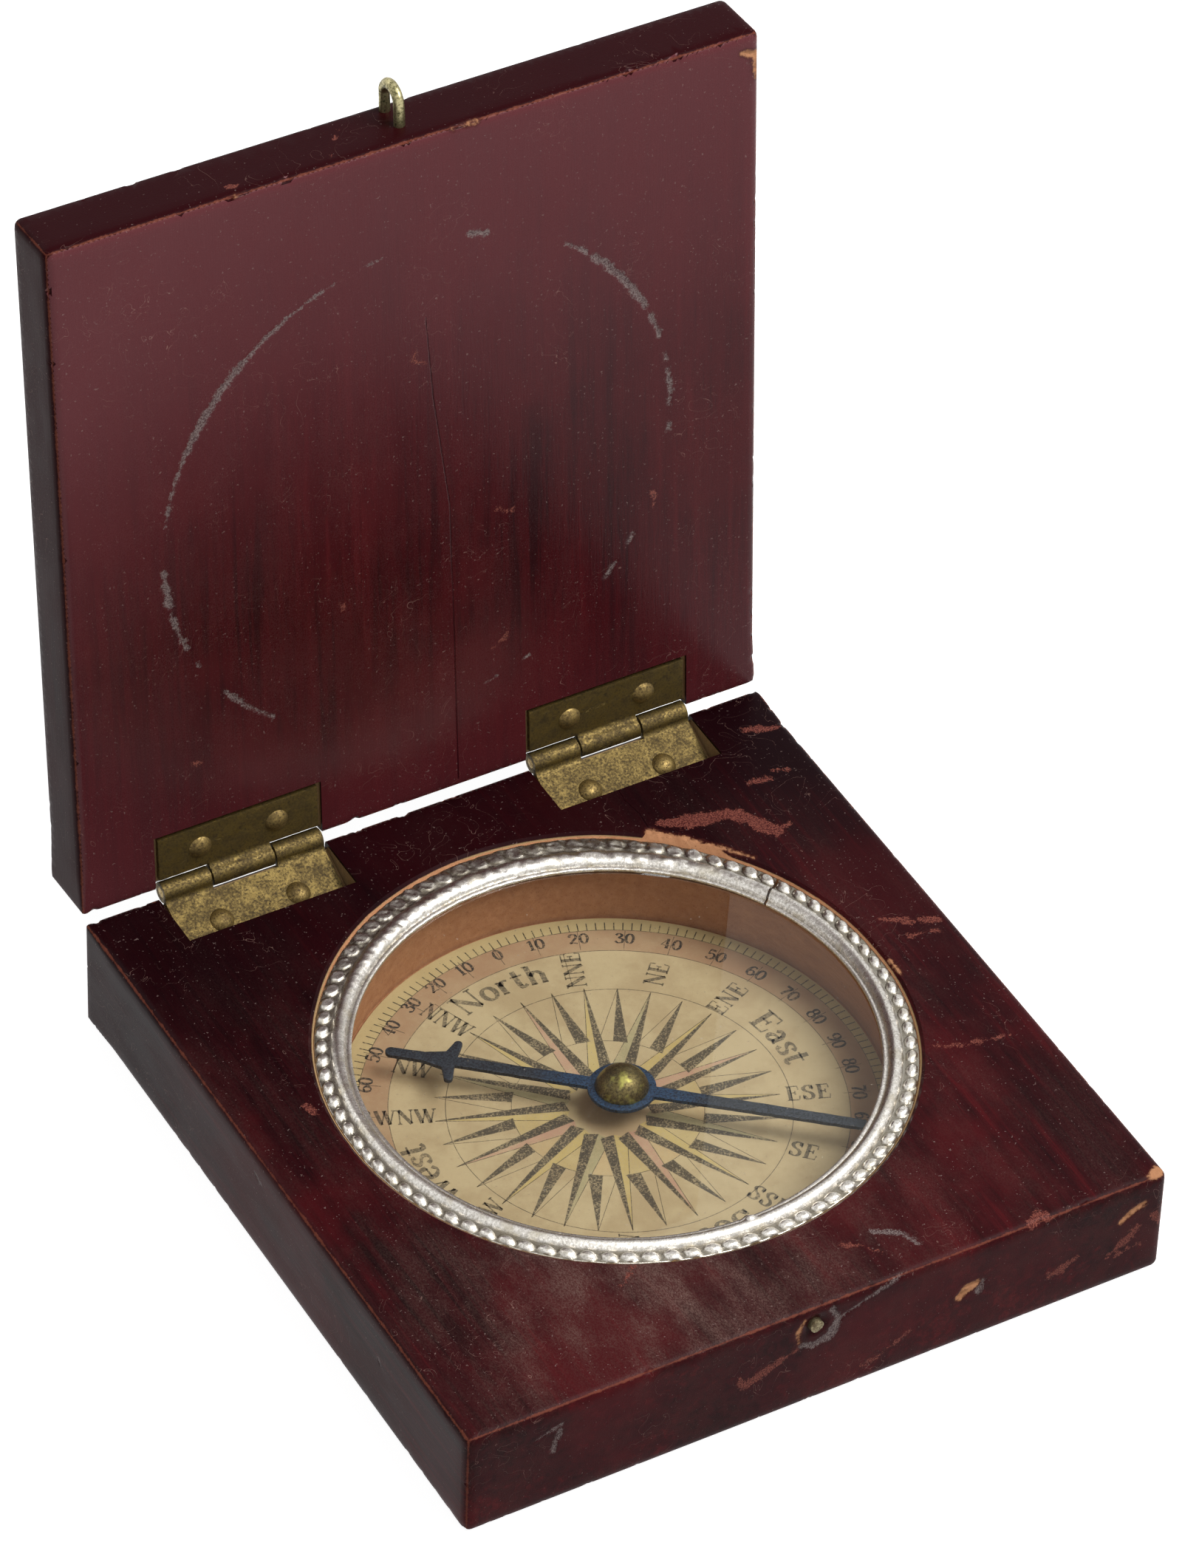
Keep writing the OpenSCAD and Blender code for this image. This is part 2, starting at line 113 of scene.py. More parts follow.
class Shader:
    """A node material, written as a chain of values."""

    def __init__(self, name):
        self.material = bpy.data.materials.new(name)
        self.material.use_nodes = True
        self.tree = self.material.node_tree
        self.tree.nodes.clear()
        self.output = self.tree.nodes.new("ShaderNodeOutputMaterial")

    def node(self, kind, **settings):
        made = self.tree.nodes.new("ShaderNode" + kind)
        for name, value in settings.items():
            setattr(made, name, value)
        return made

    def feed(self, socket, value):
        if isinstance(value, bpy.types.NodeSocket):
            self.tree.links.new(value, socket)
        else:
            socket.default_value = value

    def math(self, operation, a, b=0.0, clamp=False):
        made = self.node("Math", operation=operation, use_clamp=clamp)
        self.feed(made.inputs[0], a)
        self.feed(made.inputs[1], b)
        return made.outputs[0]

    def add(self, a, b):
        return self.math("ADD", a, b)

    def times(self, a, b):
        return self.math("MULTIPLY", a, b)

    def ramp(self, value, low, high, to_low=0.0, to_high=1.0):
        """value moved smoothly from low..high to to_low..to_high."""
        made = self.node("MapRange", interpolation_type="SMOOTHSTEP")
        for socket, number in zip(made.inputs, (value, low, high, to_low, to_high)):
            self.feed(socket, number)
        return made.outputs[0]

    def place(self, stretch=(1, 1, 1), attribute=None):
        """Where a point is on its piece, in millimetres, each axis scaled by stretch."""
        if attribute:
            source = self.node("Attribute", attribute_name=attribute).outputs["Vector"]
            scale = Vector(stretch)
        else:
            source = self.node("TexCoord").outputs["Object"]
            scale = Vector(stretch) / MM
        made = self.node("VectorMath", operation="MULTIPLY")
        self.feed(made.inputs[0], source)
        made.inputs[1].default_value = scale
        return made.outputs[0]

    def value(self, attribute):
        return self.node("Attribute", attribute_name=attribute).outputs["Fac"]

    def noise(self, place, scale=1.0, detail=4.0, rough=0.55, twist=0.0):
        made = self.node("TexNoise")
        self.feed(made.inputs["Vector"], place)
        made.inputs["Scale"].default_value = scale
        made.inputs["Detail"].default_value = detail
        made.inputs["Roughness"].default_value = rough
        made.inputs["Distortion"].default_value = twist
        return made.outputs["Fac"]

    def cells(self, place, scale=1.0, feature="F1"):
        made = self.node("TexVoronoi", feature=feature)
        self.feed(made.inputs["Vector"], place)
        made.inputs["Scale"].default_value = scale
        return made.outputs["Distance"]

    def mix(self, share, a, b, blend="MIX"):
        made = self.node("Mix", data_type="RGBA", blend_type=blend)
        self.feed(made.inputs["Factor"], share)
        self.feed(made.inputs["A"], a)
        self.feed(made.inputs["B"], b)
        return made.outputs["Result"]

    def between(self, share, a, b):
        """A number between a and b."""
        made = self.node("Mix", data_type="FLOAT")
        self.feed(made.inputs["Factor"], share)
        self.feed(made.inputs["A"], a)
        self.feed(made.inputs["B"], b)
        return made.outputs["Result"]

    def bump(self, height, strength, distance, normal=None):
        made = self.node("Bump")
        made.inputs["Strength"].default_value = strength
        made.inputs["Distance"].default_value = distance * MM
        self.feed(made.inputs["Height"], height)
        if normal is not None:
            self.feed(made.inputs["Normal"], normal)
        return made.outputs["Normal"]

    def surface(self, **values):
        """The material, finished as one Principled surface. Names have _ for spaces."""
        made = self.node("BsdfPrincipled")
        for name, value in values.items():
            self.feed(made.inputs[name.replace("_", " ")], value)
        self.feed(self.output.inputs["Surface"], made.outputs[0])
        return self.material


def add_piece(name, points, faces, body, material, replaced=(), smooth=None):
    """A mesh piece from points in millimetres, riding on a body."""
    mesh = bpy.data.meshes.new(name)
    mesh.from_pydata((np.asarray(points) * MM).tolist(), [], [list(f) for f in faces])
    return finish_piece(name, mesh, body, material, replaced, smooth)


def finish_piece(name, mesh, body, material, replaced=(), smooth=None):
    mesh.materials.clear()
    mesh.materials.append(material)
    if smooth is not None:
        mesh.polygons.foreach_set("use_smooth", [True] * len(mesh.polygons))
        mesh.set_sharp_from_angle(angle=math.radians(smooth))
    piece = bpy.data.objects.new(name, mesh)
    bpy.context.scene.collection.objects.link(piece)
    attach(piece, body)
    if replaced:
        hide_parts(*replaced)
    return piece


def set_values(mesh, name, values, kind="FLOAT"):
    made = mesh.attributes.new(name, kind, "POINT")
    field = "vector" if kind == "FLOAT_VECTOR" else "value"
    made.data.foreach_set(field, np.asarray(values, np.float32).ravel())


def joined_copy(node):
    """A bmesh of a CAD node's surface in millimetres, with its coinciding points joined."""
    bm = bmesh.new()
    bm.from_mesh(nodes[node].data)
    bmesh.ops.scale(bm, vec=(1 / MM,) * 3, verts=bm.verts)
    bmesh.ops.remove_doubles(bm, verts=bm.verts, dist=0.001)
    bmesh.ops.dissolve_degenerate(bm, dist=0.0005, edges=bm.edges)
    return bm


def triangles(bm):
    """The points and triangles of a bmesh, which is freed."""
    bmesh.ops.triangulate(bm, faces=bm.faces)
    bm.verts.index_update()
    points = np.array([v.co[:] for v in bm.verts])
    faces = np.array([[v.index for v in f.verts] for f in bm.faces])
    bm.free()
    return points, faces


def refine(points, faces, allowed, finest, passes=40):
    """Halves the longest edge of each triangle for which it is longer than allowed(its middle)."""
    for _ in range(passes):
        sides = np.sort(faces[:, [[0, 1], [1, 2], [2, 0]]].reshape(-1, 2), axis=1)
        keys, which = np.unique(sides[:, 0] * len(points) + sides[:, 1], return_inverse=True)
        edges = np.column_stack([keys // len(points), keys % len(points)])
        which = which.reshape(-1, 3)
        ends = points[edges]
        middles = ends.mean(1)
        lengths = np.linalg.norm(ends[:, 0] - ends[:, 1], axis=1)
        longest = which[np.arange(len(faces)), lengths[which].argmax(1)]
        split = np.zeros(len(edges), bool)
        split[longest] = lengths[longest] > finest
        split[split] = lengths[split] > allowed(middles[split])
        if not split.any():
            break
        added = np.full(len(edges), -1)
        added[split] = len(points) + np.arange(split.sum())
        points = np.concatenate([points, middles[split]])
        mids = added[which]
        cut = mids >= 0
        count = cut.sum(1)
        made = [faces[count == 0]]
        for turn in range(3):
            f = np.roll(faces, -turn, axis=1)
            m = np.roll(mids, -turn, axis=1)
            c = np.roll(cut, -turn, axis=1)
            one = (count == 1) & c[:, 0]
            two = (count == 2) & ~c[:, 2]
            made.append(np.column_stack([f[one, 0], m[one, 0], f[one, 2]]))
            made.append(np.column_stack([m[one, 0], f[one, 1], f[one, 2]]))
            made.append(np.column_stack([m[two, 0], f[two, 1], m[two, 1]]))
            made.append(np.column_stack([f[two, 0], m[two, 0], m[two, 1]]))
            made.append(np.column_stack([f[two, 0], m[two, 1], f[two, 2]]))
        whole = count == 3
        f, m = faces[whole], mids[whole]
        made.append(m)
        for k in range(3):
            made.append(np.column_stack([f[:, k], m[:, k], m[:, k - 1]]))
        faces = np.concatenate(made)
    return points, faces


def triangle_mesh(name, points, faces):
    """A mesh from points in millimetres and triangles."""
    mesh = bpy.data.meshes.new(name)
    mesh.vertices.add(len(points))
    mesh.vertices.foreach_set("co", (points * MM).astype(np.float32).ravel())
    mesh.loops.add(3 * len(faces))
    mesh.loops.foreach_set("vertex_index", faces.astype(np.int32).ravel())
    mesh.polygons.add(len(faces))
    mesh.polygons.foreach_set("loop_start", np.arange(0, 3 * len(faces), 3, dtype=np.int32))
    mesh.update(calc_edges=True)
    return mesh


FAR = 2.0


def stroke_distance(points, strokes):
    """Signed distance, up to FAR, to the nearest stroke: lines with a radius at each end."""
    best = np.full(len(points), FAR)
    for stroke in strokes:
        for (*a, ra), (*b, rb) in zip(stroke[:-1], stroke[1:]):
            a, b = np.array(a), np.array(b)
            low, high = np.minimum(a, b) - FAR, np.maximum(a, b) + FAR
            near = np.flatnonzero(((points > low) & (points < high)).all(1))
            at = points[near]
            way = b - a
            t = np.clip((at - a) @ way / max(way @ way, 1e-9), 0, 1)
            off = np.linalg.norm(at - a - t[:, None] * way, axis=1)
            best[near] = np.minimum(best[near], off - (ra + (rb - ra) * t))
    return best


def on_plane(axis, level, *strokes):
    """Strokes drawn as (u, v, radius) on a plane square to an axis, as strokes in space."""
    made = []
    for stroke in strokes:
        made.append([tuple(np.insert((u, v), axis, level)) + (r,) for u, v, r in stroke])
    return made


def ring_stroke(centre, radius, start, end, level, wide):
    """A stroke along part of a circle, by bearings in degrees from +X toward +Y."""
    count = max(2, int(abs(end - start) / 4) + 2)
    return [
        (centre[0] + radius * math.cos(a), centre[1] + radius * math.sin(a), level, wide)
        for a in np.radians(np.linspace(start, end, count))
    ]


# Radius of a block's rounded edges in the solid, here, and here beside the hinges
CAD_EASE = 0.5
EASE = 0.8
BACK_EASE = 0.3
# Where the edges change from one to the other, along the box's depth
EASE_CHANGE = (31, 35)
# How far the wood reaches toward the hinge pins past the solid, and where that starts
BACK_REACH = 0.3
REACH_START = 33
# Sides of a block's triangles that are longer than COARSE are halved, shorter than FINE never
COARSE = 1.8
FINE = 0.22

# The place of most dust and painted sheen, in front of the well
DUST_AND_SHEEN = (-12, -28)
DUST_AND_SHEEN_REACH = 15
# Share of the dust and painted sheen that lies everywhere
DUST_AND_SHEEN_SHARE = 0.16

# The ring's seat in the wood, and the ring's inner lip
WELL_X, WELL_Y = WELL
SEAT_R = RING_R + 0.05
LIP_R = 23.65
# Distances from the well's middle between which the wood moves out with the ring
SPREAD_FROM = 26.95
SPREAD_TO = 30.5
# How far the bent ring's outer edge lies outside a true circle, by bearing from +X toward +Y
SPREAD = (
    (0, -0.35), (40, 0.1), (65, 0.75), (90, 0.85), (115, 0.7), (140, 0.1), (180, -0.25),
    (230, 0.0), (290, 0.0), (330, -0.1), (360, -0.35),
)


def spread_at(bearing):
    """How far the bent ring's outer edge, and the wood round it, lie outside a true circle."""
    return np.interp(bearing, *zip(*SPREAD))


# Width of the bare wood round the ring's seat, by the same bearing
RIM_WIDTHS = (
    (0, 0.12), (38, 0.15), (41, 0.45), (50, 0.8), (55, 0.95), (56, 0.1), (90, 0.06), (92, 0.16),
    (130, 0.12), (140, 0.0), (230, 0.0), (250, -0.05), (330, 0.0), (360, 0.12),
)

# Marks on the base: bare wood, pale scuffs, dull grey dents and a crack
BASE_BARE = [
    [(WELL_X + 27.9 * math.cos(a), WELL_Y + 27.9 * math.sin(a), TOP_Z, w)
     for a, w in ((0.60, 0.1), (0.72, 0.3), (0.84, 0.55), (0.94, 0.75))],
    [(16.9, 22.3, TOP_Z, 0.5), (16.4, 23.5, TOP_Z, 0.6)],
    *on_plane(
        2, TOP_Z,
        [(27.1, -1.4, 0.3), (27.1, -3.2, 0.2)],
        [(34.4, -35.3, 0.6), (33.3, -35.8, 0.35)],
    ),
    *on_plane(
        1, -HALF_Y,
        [(13.9, 5.9, 0.45), (14.6, 6.6, 0.6), (15.6, 6.9, 0.35)],
        [(30.4, 7.6, 0.3), (31.5, 8.3, 0.45), (32.8, 8.9, 0.3)],
        [(-1.9, 10.4, 0.2), (-2.6, 9.2, 0.25), (-2.4, 7.9, 0.2)],
    ),
]
BASE_PALE = [
    *on_plane(2, TOP_Z, [
        (17.8, 24.2, 0.4), (19.6, 23.4, 0.8), (21.6, 22.9, 0.9), (23.4, 22.7, 0.7),
        (24.6, 22.1, 0.8), (25.5, 20.9, 0.8), (25.7, 19.6, 0.7), (26.3, 19.0, 0.75),
        (26.8, 18.3, 0.6)]),
    *on_plane(
        2, TOP_Z,
        [(26.6, 18.6, 0.5), (28.3, 18.7, 0.2)],
        [(31.2, 31.8, 0.3), (32.4, 31.4, 0.45), (34.0, 30.9, 0.3)],
        [(28.0, 25.3, 0.25), (29.8, 24.8, 0.2)],
        [(30.6, 25.7, 0.2), (31.8, 25.2, 0.2)],
        [(29.2, 3.7, 0.25), (31.2, 2.6, 0.4), (33.8, 1.3, 0.35)],
        [(30.4, 0.7, 0.2), (32.8, 0.2, 0.2)],
        [(24.6, -12.8, 0.15), (28.0, -13.9, 0.2), (31.6, -14.6, 0.15)],
        [(21.0, -35.9, 0.5), (21.9, -35.2, 0.5), (22.8, -35.9, 0.3)],
        [(4.4, -30.0, 0.1), (6.3, -31.3, 0.14), (7.6, -32.8, 0.1)],
        [(-14.4, -25.8, 0.08), (-12.3, -24.4, 0.08)],
        [(-28.3, 6.2, 0.35), (-28.0, 5.4, 0.3)],
    ),
    *on_plane(
        1, -HALF_Y,
        [(-8.2, 6.4, 0.15), (-7.9, 5.2, 0.3), (-5.4, 6.1, 0.35), (-2.7, 7.3, 0.3)],
        [(23.3, 4.2, 0.35), (24.6, 4.6, 0.5), (26.0, 5.3, 0.2)],
        [(29.6, 4.0, 0.3), (31.0, 5.0, 0.55), (32.3, 6.1, 0.35)],
        [(30.1, 3.5, 0.2), (32.4, 3.9, 0.25)],
        [(33.9, 6.9, 0.4), (34.6, 6.0, 0.35)],
        [(4.5, 1.9, 0.2), (6.4, 2.8, 0.1), (8.9, 4.0, 0.12)],
    ),
]
BASE_GREY = [
    *on_plane(
        1, -HALF_Y,
        [(2.0, 9.3, 0.35), (4.6, 10.4, 0.15), (8.3, 11.6, 0.3)],
        [(0.9, 10.6, 0.35), (1.6, 9.2, 0.5), (0.9, 7.6, 0.55), (-0.8, 7.0, 0.45), (-2.2, 7.6, 0.3)],
        [(-28.6, 8.4, 0.1), (-25.7, 9.3, 0.2), (-26.6, 6.4, 0.35)],
        [(15.8, 5.9, 0.4), (16.3, 6.9, 0.3)],
    ),
    *on_plane(
        0, -HALF_X,
        [(2.9, 9.2, 0.3), (1.9, 8.8, 0.2)],
        [(-20.1, 7.0, 0.25), (-20.4, 6.6, 0.2)],
    ),
    *on_plane(2, TOP_Z, [(8.0, -30.2, 0.2), (10.4, -31.6, 0.3), (11.0, -33.5, 0.15)]),
]
BASE_CRACK = on_plane(
    2, TOP_Z, [(16.6, 30.2, 0.05), (16.4, 28.4, 0.05), (16.7, 26.2, 0.06), (16.5, 24.2, 0.05)])

# Marks on the lid: arcs where the ring has pressed into its inner face, then as on the base
LID_Z = LID_LOW[2]
DENT = (0.3, 0.7)
DENT_R = 25.6
# First and last bearing, and radius of the stroke
DENT_ARCS = (
    (190, 207, 0.2), (207, 226, 0.42), (226, 238, 0.28), (238, 252, 0.12), (258, 263, 0.1),
    (282, 286, 0.3), (176, 179, 0.3), (170, 175, 0.4), (158, 168, 0.28), (152, 153, 0.2),
    (127, 142, 0.24), (306, 312, 0.24), (314, 334, 0.42), (337, 343, 0.32), (348, 349, 0.3),
    (352, 361, 0.22), (6, 7, 0.3), (32, 34, 0.3), (39, 43, 0.25), (65, 67, 0.15),
    (73, 76, 0.15),
)
LID_DENT = [ring_stroke(DENT, DENT_R, *ends, LID_Z, wide) for *ends, wide in DENT_ARCS]
LID_BARE = [
    *on_plane(
        2, LID_Z,
        [(33.2, -34.2, 0.25), (34.6, -33.6, 0.5), (34.8, -31.2, 0.3)],
        [(4.4, -35.8, 0.25), (6.6, -35.8, 0.3)],
        [(-17.0, -35.9, 0.2), (-15.6, -35.9, 0.2)],
        [(-34.9, -35.8, 0.3), (-34.5, -35.9, 0.2)],
    ),
]
LID_PALE = [
    *on_plane(
        2, LID_Z,
        [(0.2, -14.0, 0.06), (-0.1, -12.8, 0.09), (0.9, -12.3, 0.07)],
        [(8.2, 6.3, 0.2), (9.6, 7.2, 0.2)],
        [(-23.6, 23.2, 0.2), (-22.4, 23.6, 0.2)],
        [(7.2, 21.9, 0.1), (8.6, 21.2, 0.3), (9.0, 20.4, 0.1)],
        [(-8.2, 11.0, 0.05), (-7.6, 11.3, 0.06), (-7.8, 11.9, 0.05)],
        [(24.2, 11.6, 0.15), (24.0, 10.4, 0.2)],
    ),
    *on_plane(
        1, LID_LOW[1],
        [(-7.0, 13.0, 0.15), (-6.7, 13.4, 0.15)],
        [(-5.4, 15.4, 0.08), (-4.6, 16.3, 0.08)],
        [(-16.8, 13.3, 0.2), (-16.4, 13.2, 0.2)],
    ),
]
LID_CRACK = on_plane(
    2, LID_Z,
    [(1.2, -17.0, 0.04), (1.8, -8.0, 0.06), (3.2, 4.0, 0.05), (3.4, 19.0, 0.06), (3.5, 35.5, 0.06)])


def arris_distance(points, low, high):
    """Distance along the surface to the block's nearest outer edge."""
    off = np.minimum(points - low, high - points)
    return np.sort(off, axis=1)[:, 1]


def sharpened(points, low, high):
    """Points with those on the solid's rounded edges moved out to the sharp edge."""
    moved = points.copy()
    on_low = points - low < CAD_EASE - 0.01
    on_high = high - points < CAD_EASE - 0.01
    on_edge = ((on_low | on_high).sum(1) > 1)[:, None]
    moved = np.where(on_edge & on_low, low, moved)
    return np.where(on_edge & on_high, high, moved)


def sliced(bm, low, high, back, step=2.0):
    """Cuts a block's faces along planes a step apart, so that none stays long and thin."""
    for axis in range(3):
        way = np.eye(3)[axis]
        for level in np.arange(low[axis] + step, high[axis], step):
            start, end = back(np.array([way * level, way * (level + 1)]))
            geometry = bm.verts[:] + bm.edges[:] + bm.faces[:]
            bmesh.ops.bisect_plane(
                bm, geom=geometry, dist=0.0001, plane_co=start, plane_no=end - start)


def eased(points, low, high):
    """Points of a sharp block moved in so that its edges are round, less so at the hinges."""
    radius = np.interp(points[:, 1], EASE_CHANGE, (EASE, BACK_EASE))[:, None]
    inner = np.clip(points, low + radius, high - radius)
    off = points - inner
    size = np.maximum(np.linalg.norm(off, axis=1), 1e-9)
    return inner + off * (np.abs(off).max(1) / size)[:, None]


def block_mesh(name, node, low, high, marks, ends, sides, move, back):
    """A block's surface with its marks as attributes, chipped where wood is bare.

    ends and sides say how much paler (1) or darker (-1) the wood is painted, from front to back and
    from left to right, mostly as painted light. move takes points to the closed block's own place,
    back returns them.
    """
    every = [stroke for strokes in marks.values() for stroke in strokes]

    def allowed(at):
        near = np.maximum(stroke_distance(at, every), 0)
        edge = np.maximum(arris_distance(at, low, high), 0)
        rim = np.abs(rim_distance(at)) if node == "base_block" else near
        close = np.minimum(FINE + 0.9 * np.minimum(near, rim), 0.36 + 0.9 * edge)
        return np.clip(close, FINE, COARSE)

    bm = joined_copy(node)
    spots = move(np.array([v.co[:] for v in bm.verts]))
    for vert, moved in zip(bm.verts, back(sharpened(spots, low, high))):
        vert.co = moved
    bmesh.ops.remove_doubles(bm, verts=bm.verts, dist=0.02)
    bmesh.ops.dissolve_degenerate(bm, dist=0.005, edges=bm.edges)
    bmesh.ops.dissolve_limit(
        bm, angle_limit=math.radians(0.6), verts=bm.verts, edges=bm.edges, delimit={"NORMAL"})
    sliced(bm, low, high, back)
    points, faces = triangles(bm)
    at, faces = refine(move(points), faces, allowed, FINE)
    bare = stroke_distance(at, marks["bare"])
    dent = stroke_distance(at, marks["dent"])
    edge = arris_distance(at, low, high)
    depth_inside = np.minimum(at - low, high - at).min(1)
    inward = np.clip(at, low + 2, high - 2) - at
    inward /= np.maximum(np.linalg.norm(inward, axis=1), 1e-6)[:, None]
    rough = smooth_noise(at, 1.3, 3) + 0.6 * smooth_noise(at, 0.45, 4)
    push = 0.16 * np.clip(-bare / 0.35, 0, 1) * (0.7 + 0.5 * rough)
    push += 0.05 * np.clip(-dent / 0.3, 0, 1)
    push += 0.5 * np.clip(smooth_noise(at, 2.2, 5) - 0.55, 0, 1) * np.clip(1 - edge / 0.7, 0, 1)
    at = at + inward * (push * (depth_inside < 0.6))[:, None]
    at = eased(at, low, high)
    at[:, 1] += BACK_REACH * np.clip((at[:, 1] - REACH_START) / (HALF_Y - REACH_START), 0, 1)
    if node == "base_block":
        at = spread_rim(at)
    mesh = triangle_mesh(name, back(at), faces)
    set_values(mesh, "place", at, "FLOAT_VECTOR")
    set_values(mesh, "edge", edge)
    set_values(mesh, "inner", depth_inside)
    # Dust with a painted sheen: a grey film on the top, strongest in front of the well
    away = np.hypot(at[:, 0] - DUST_AND_SHEEN[0], at[:, 1] - DUST_AND_SHEEN[1]) / DUST_AND_SHEEN_REACH
    on_top = (at[:, 2] > TOP_Z - 0.3) & (at[:, 2] < LID_Z - 0.01)
    set_values(mesh, "dust_and_painted_sheen", DUST_AND_SHEEN_SHARE + (1 - DUST_AND_SHEEN_SHARE) * on_top * np.exp(-away ** 2))
    # Painted light: paler as a painted reflection, darker as painted shade, by place along the block
    tone = np.interp(at[:, 1], *zip(*ends)) + np.interp(at[:, 0], *zip(*sides))
    set_values(mesh, "painted_light_and_tone", np.clip(tone, -1, 1))
    set_values(mesh, "rim", rim_distance(at) if node == "base_block" else np.full(len(at), FAR))
    for key, strokes in marks.items():
        set_values(mesh, key, stroke_distance(at, strokes))
    return mesh


def spread_rim(points):
    """The wood round the ring's seat, moved out where the bent ring has pressed it."""
    off = points[:, :2] - WELL
    reach = np.hypot(off[:, 0], off[:, 1])
    bearing = np.degrees(np.arctan2(off[:, 1], off[:, 0])) % 360
    share = np.clip((reach - SPREAD_FROM) / 0.05, 0, 1)
    share *= np.clip((SPREAD_TO - reach) / 3, 0, 1)
    share *= np.clip((points[:, 2] - GLASS_Z - 0.02) / 0.2, 0, 1)
    moved = points.copy()
    moved[:, :2] += off / np.maximum(reach, 1e-6)[:, None] * (share * spread_at(bearing))[:, None]
    return moved


def rim_distance(points):
    """Distance outward from the bare wood round the ring's seat, whose width changes with bearing."""
    off = points[:, :2] - WELL
    bearing = np.degrees(np.arctan2(off[:, 1], off[:, 0])) % 360
    width = np.interp(bearing, *zip(*RIM_WIDTHS))
    return np.hypot(off[:, 0], off[:, 1]) - SEAT_R - spread_at(bearing) - width


def smooth_noise(points, size, seed):
    """Smooth noise from about -1 to 1 with features of the given size."""
    made = np.zeros(len(points))
    picks = np.random.default_rng(seed)
    for octave in range(3):
        for _ in range(5):
            way = picks.normal(size=3)
            way *= 2 * math.pi / (size * np.linalg.norm(way)) * 1.9 ** octave
            made += np.sin(points @ way + picks.uniform(0, 6.28)) / 1.9 ** octave
    return made / 4.2


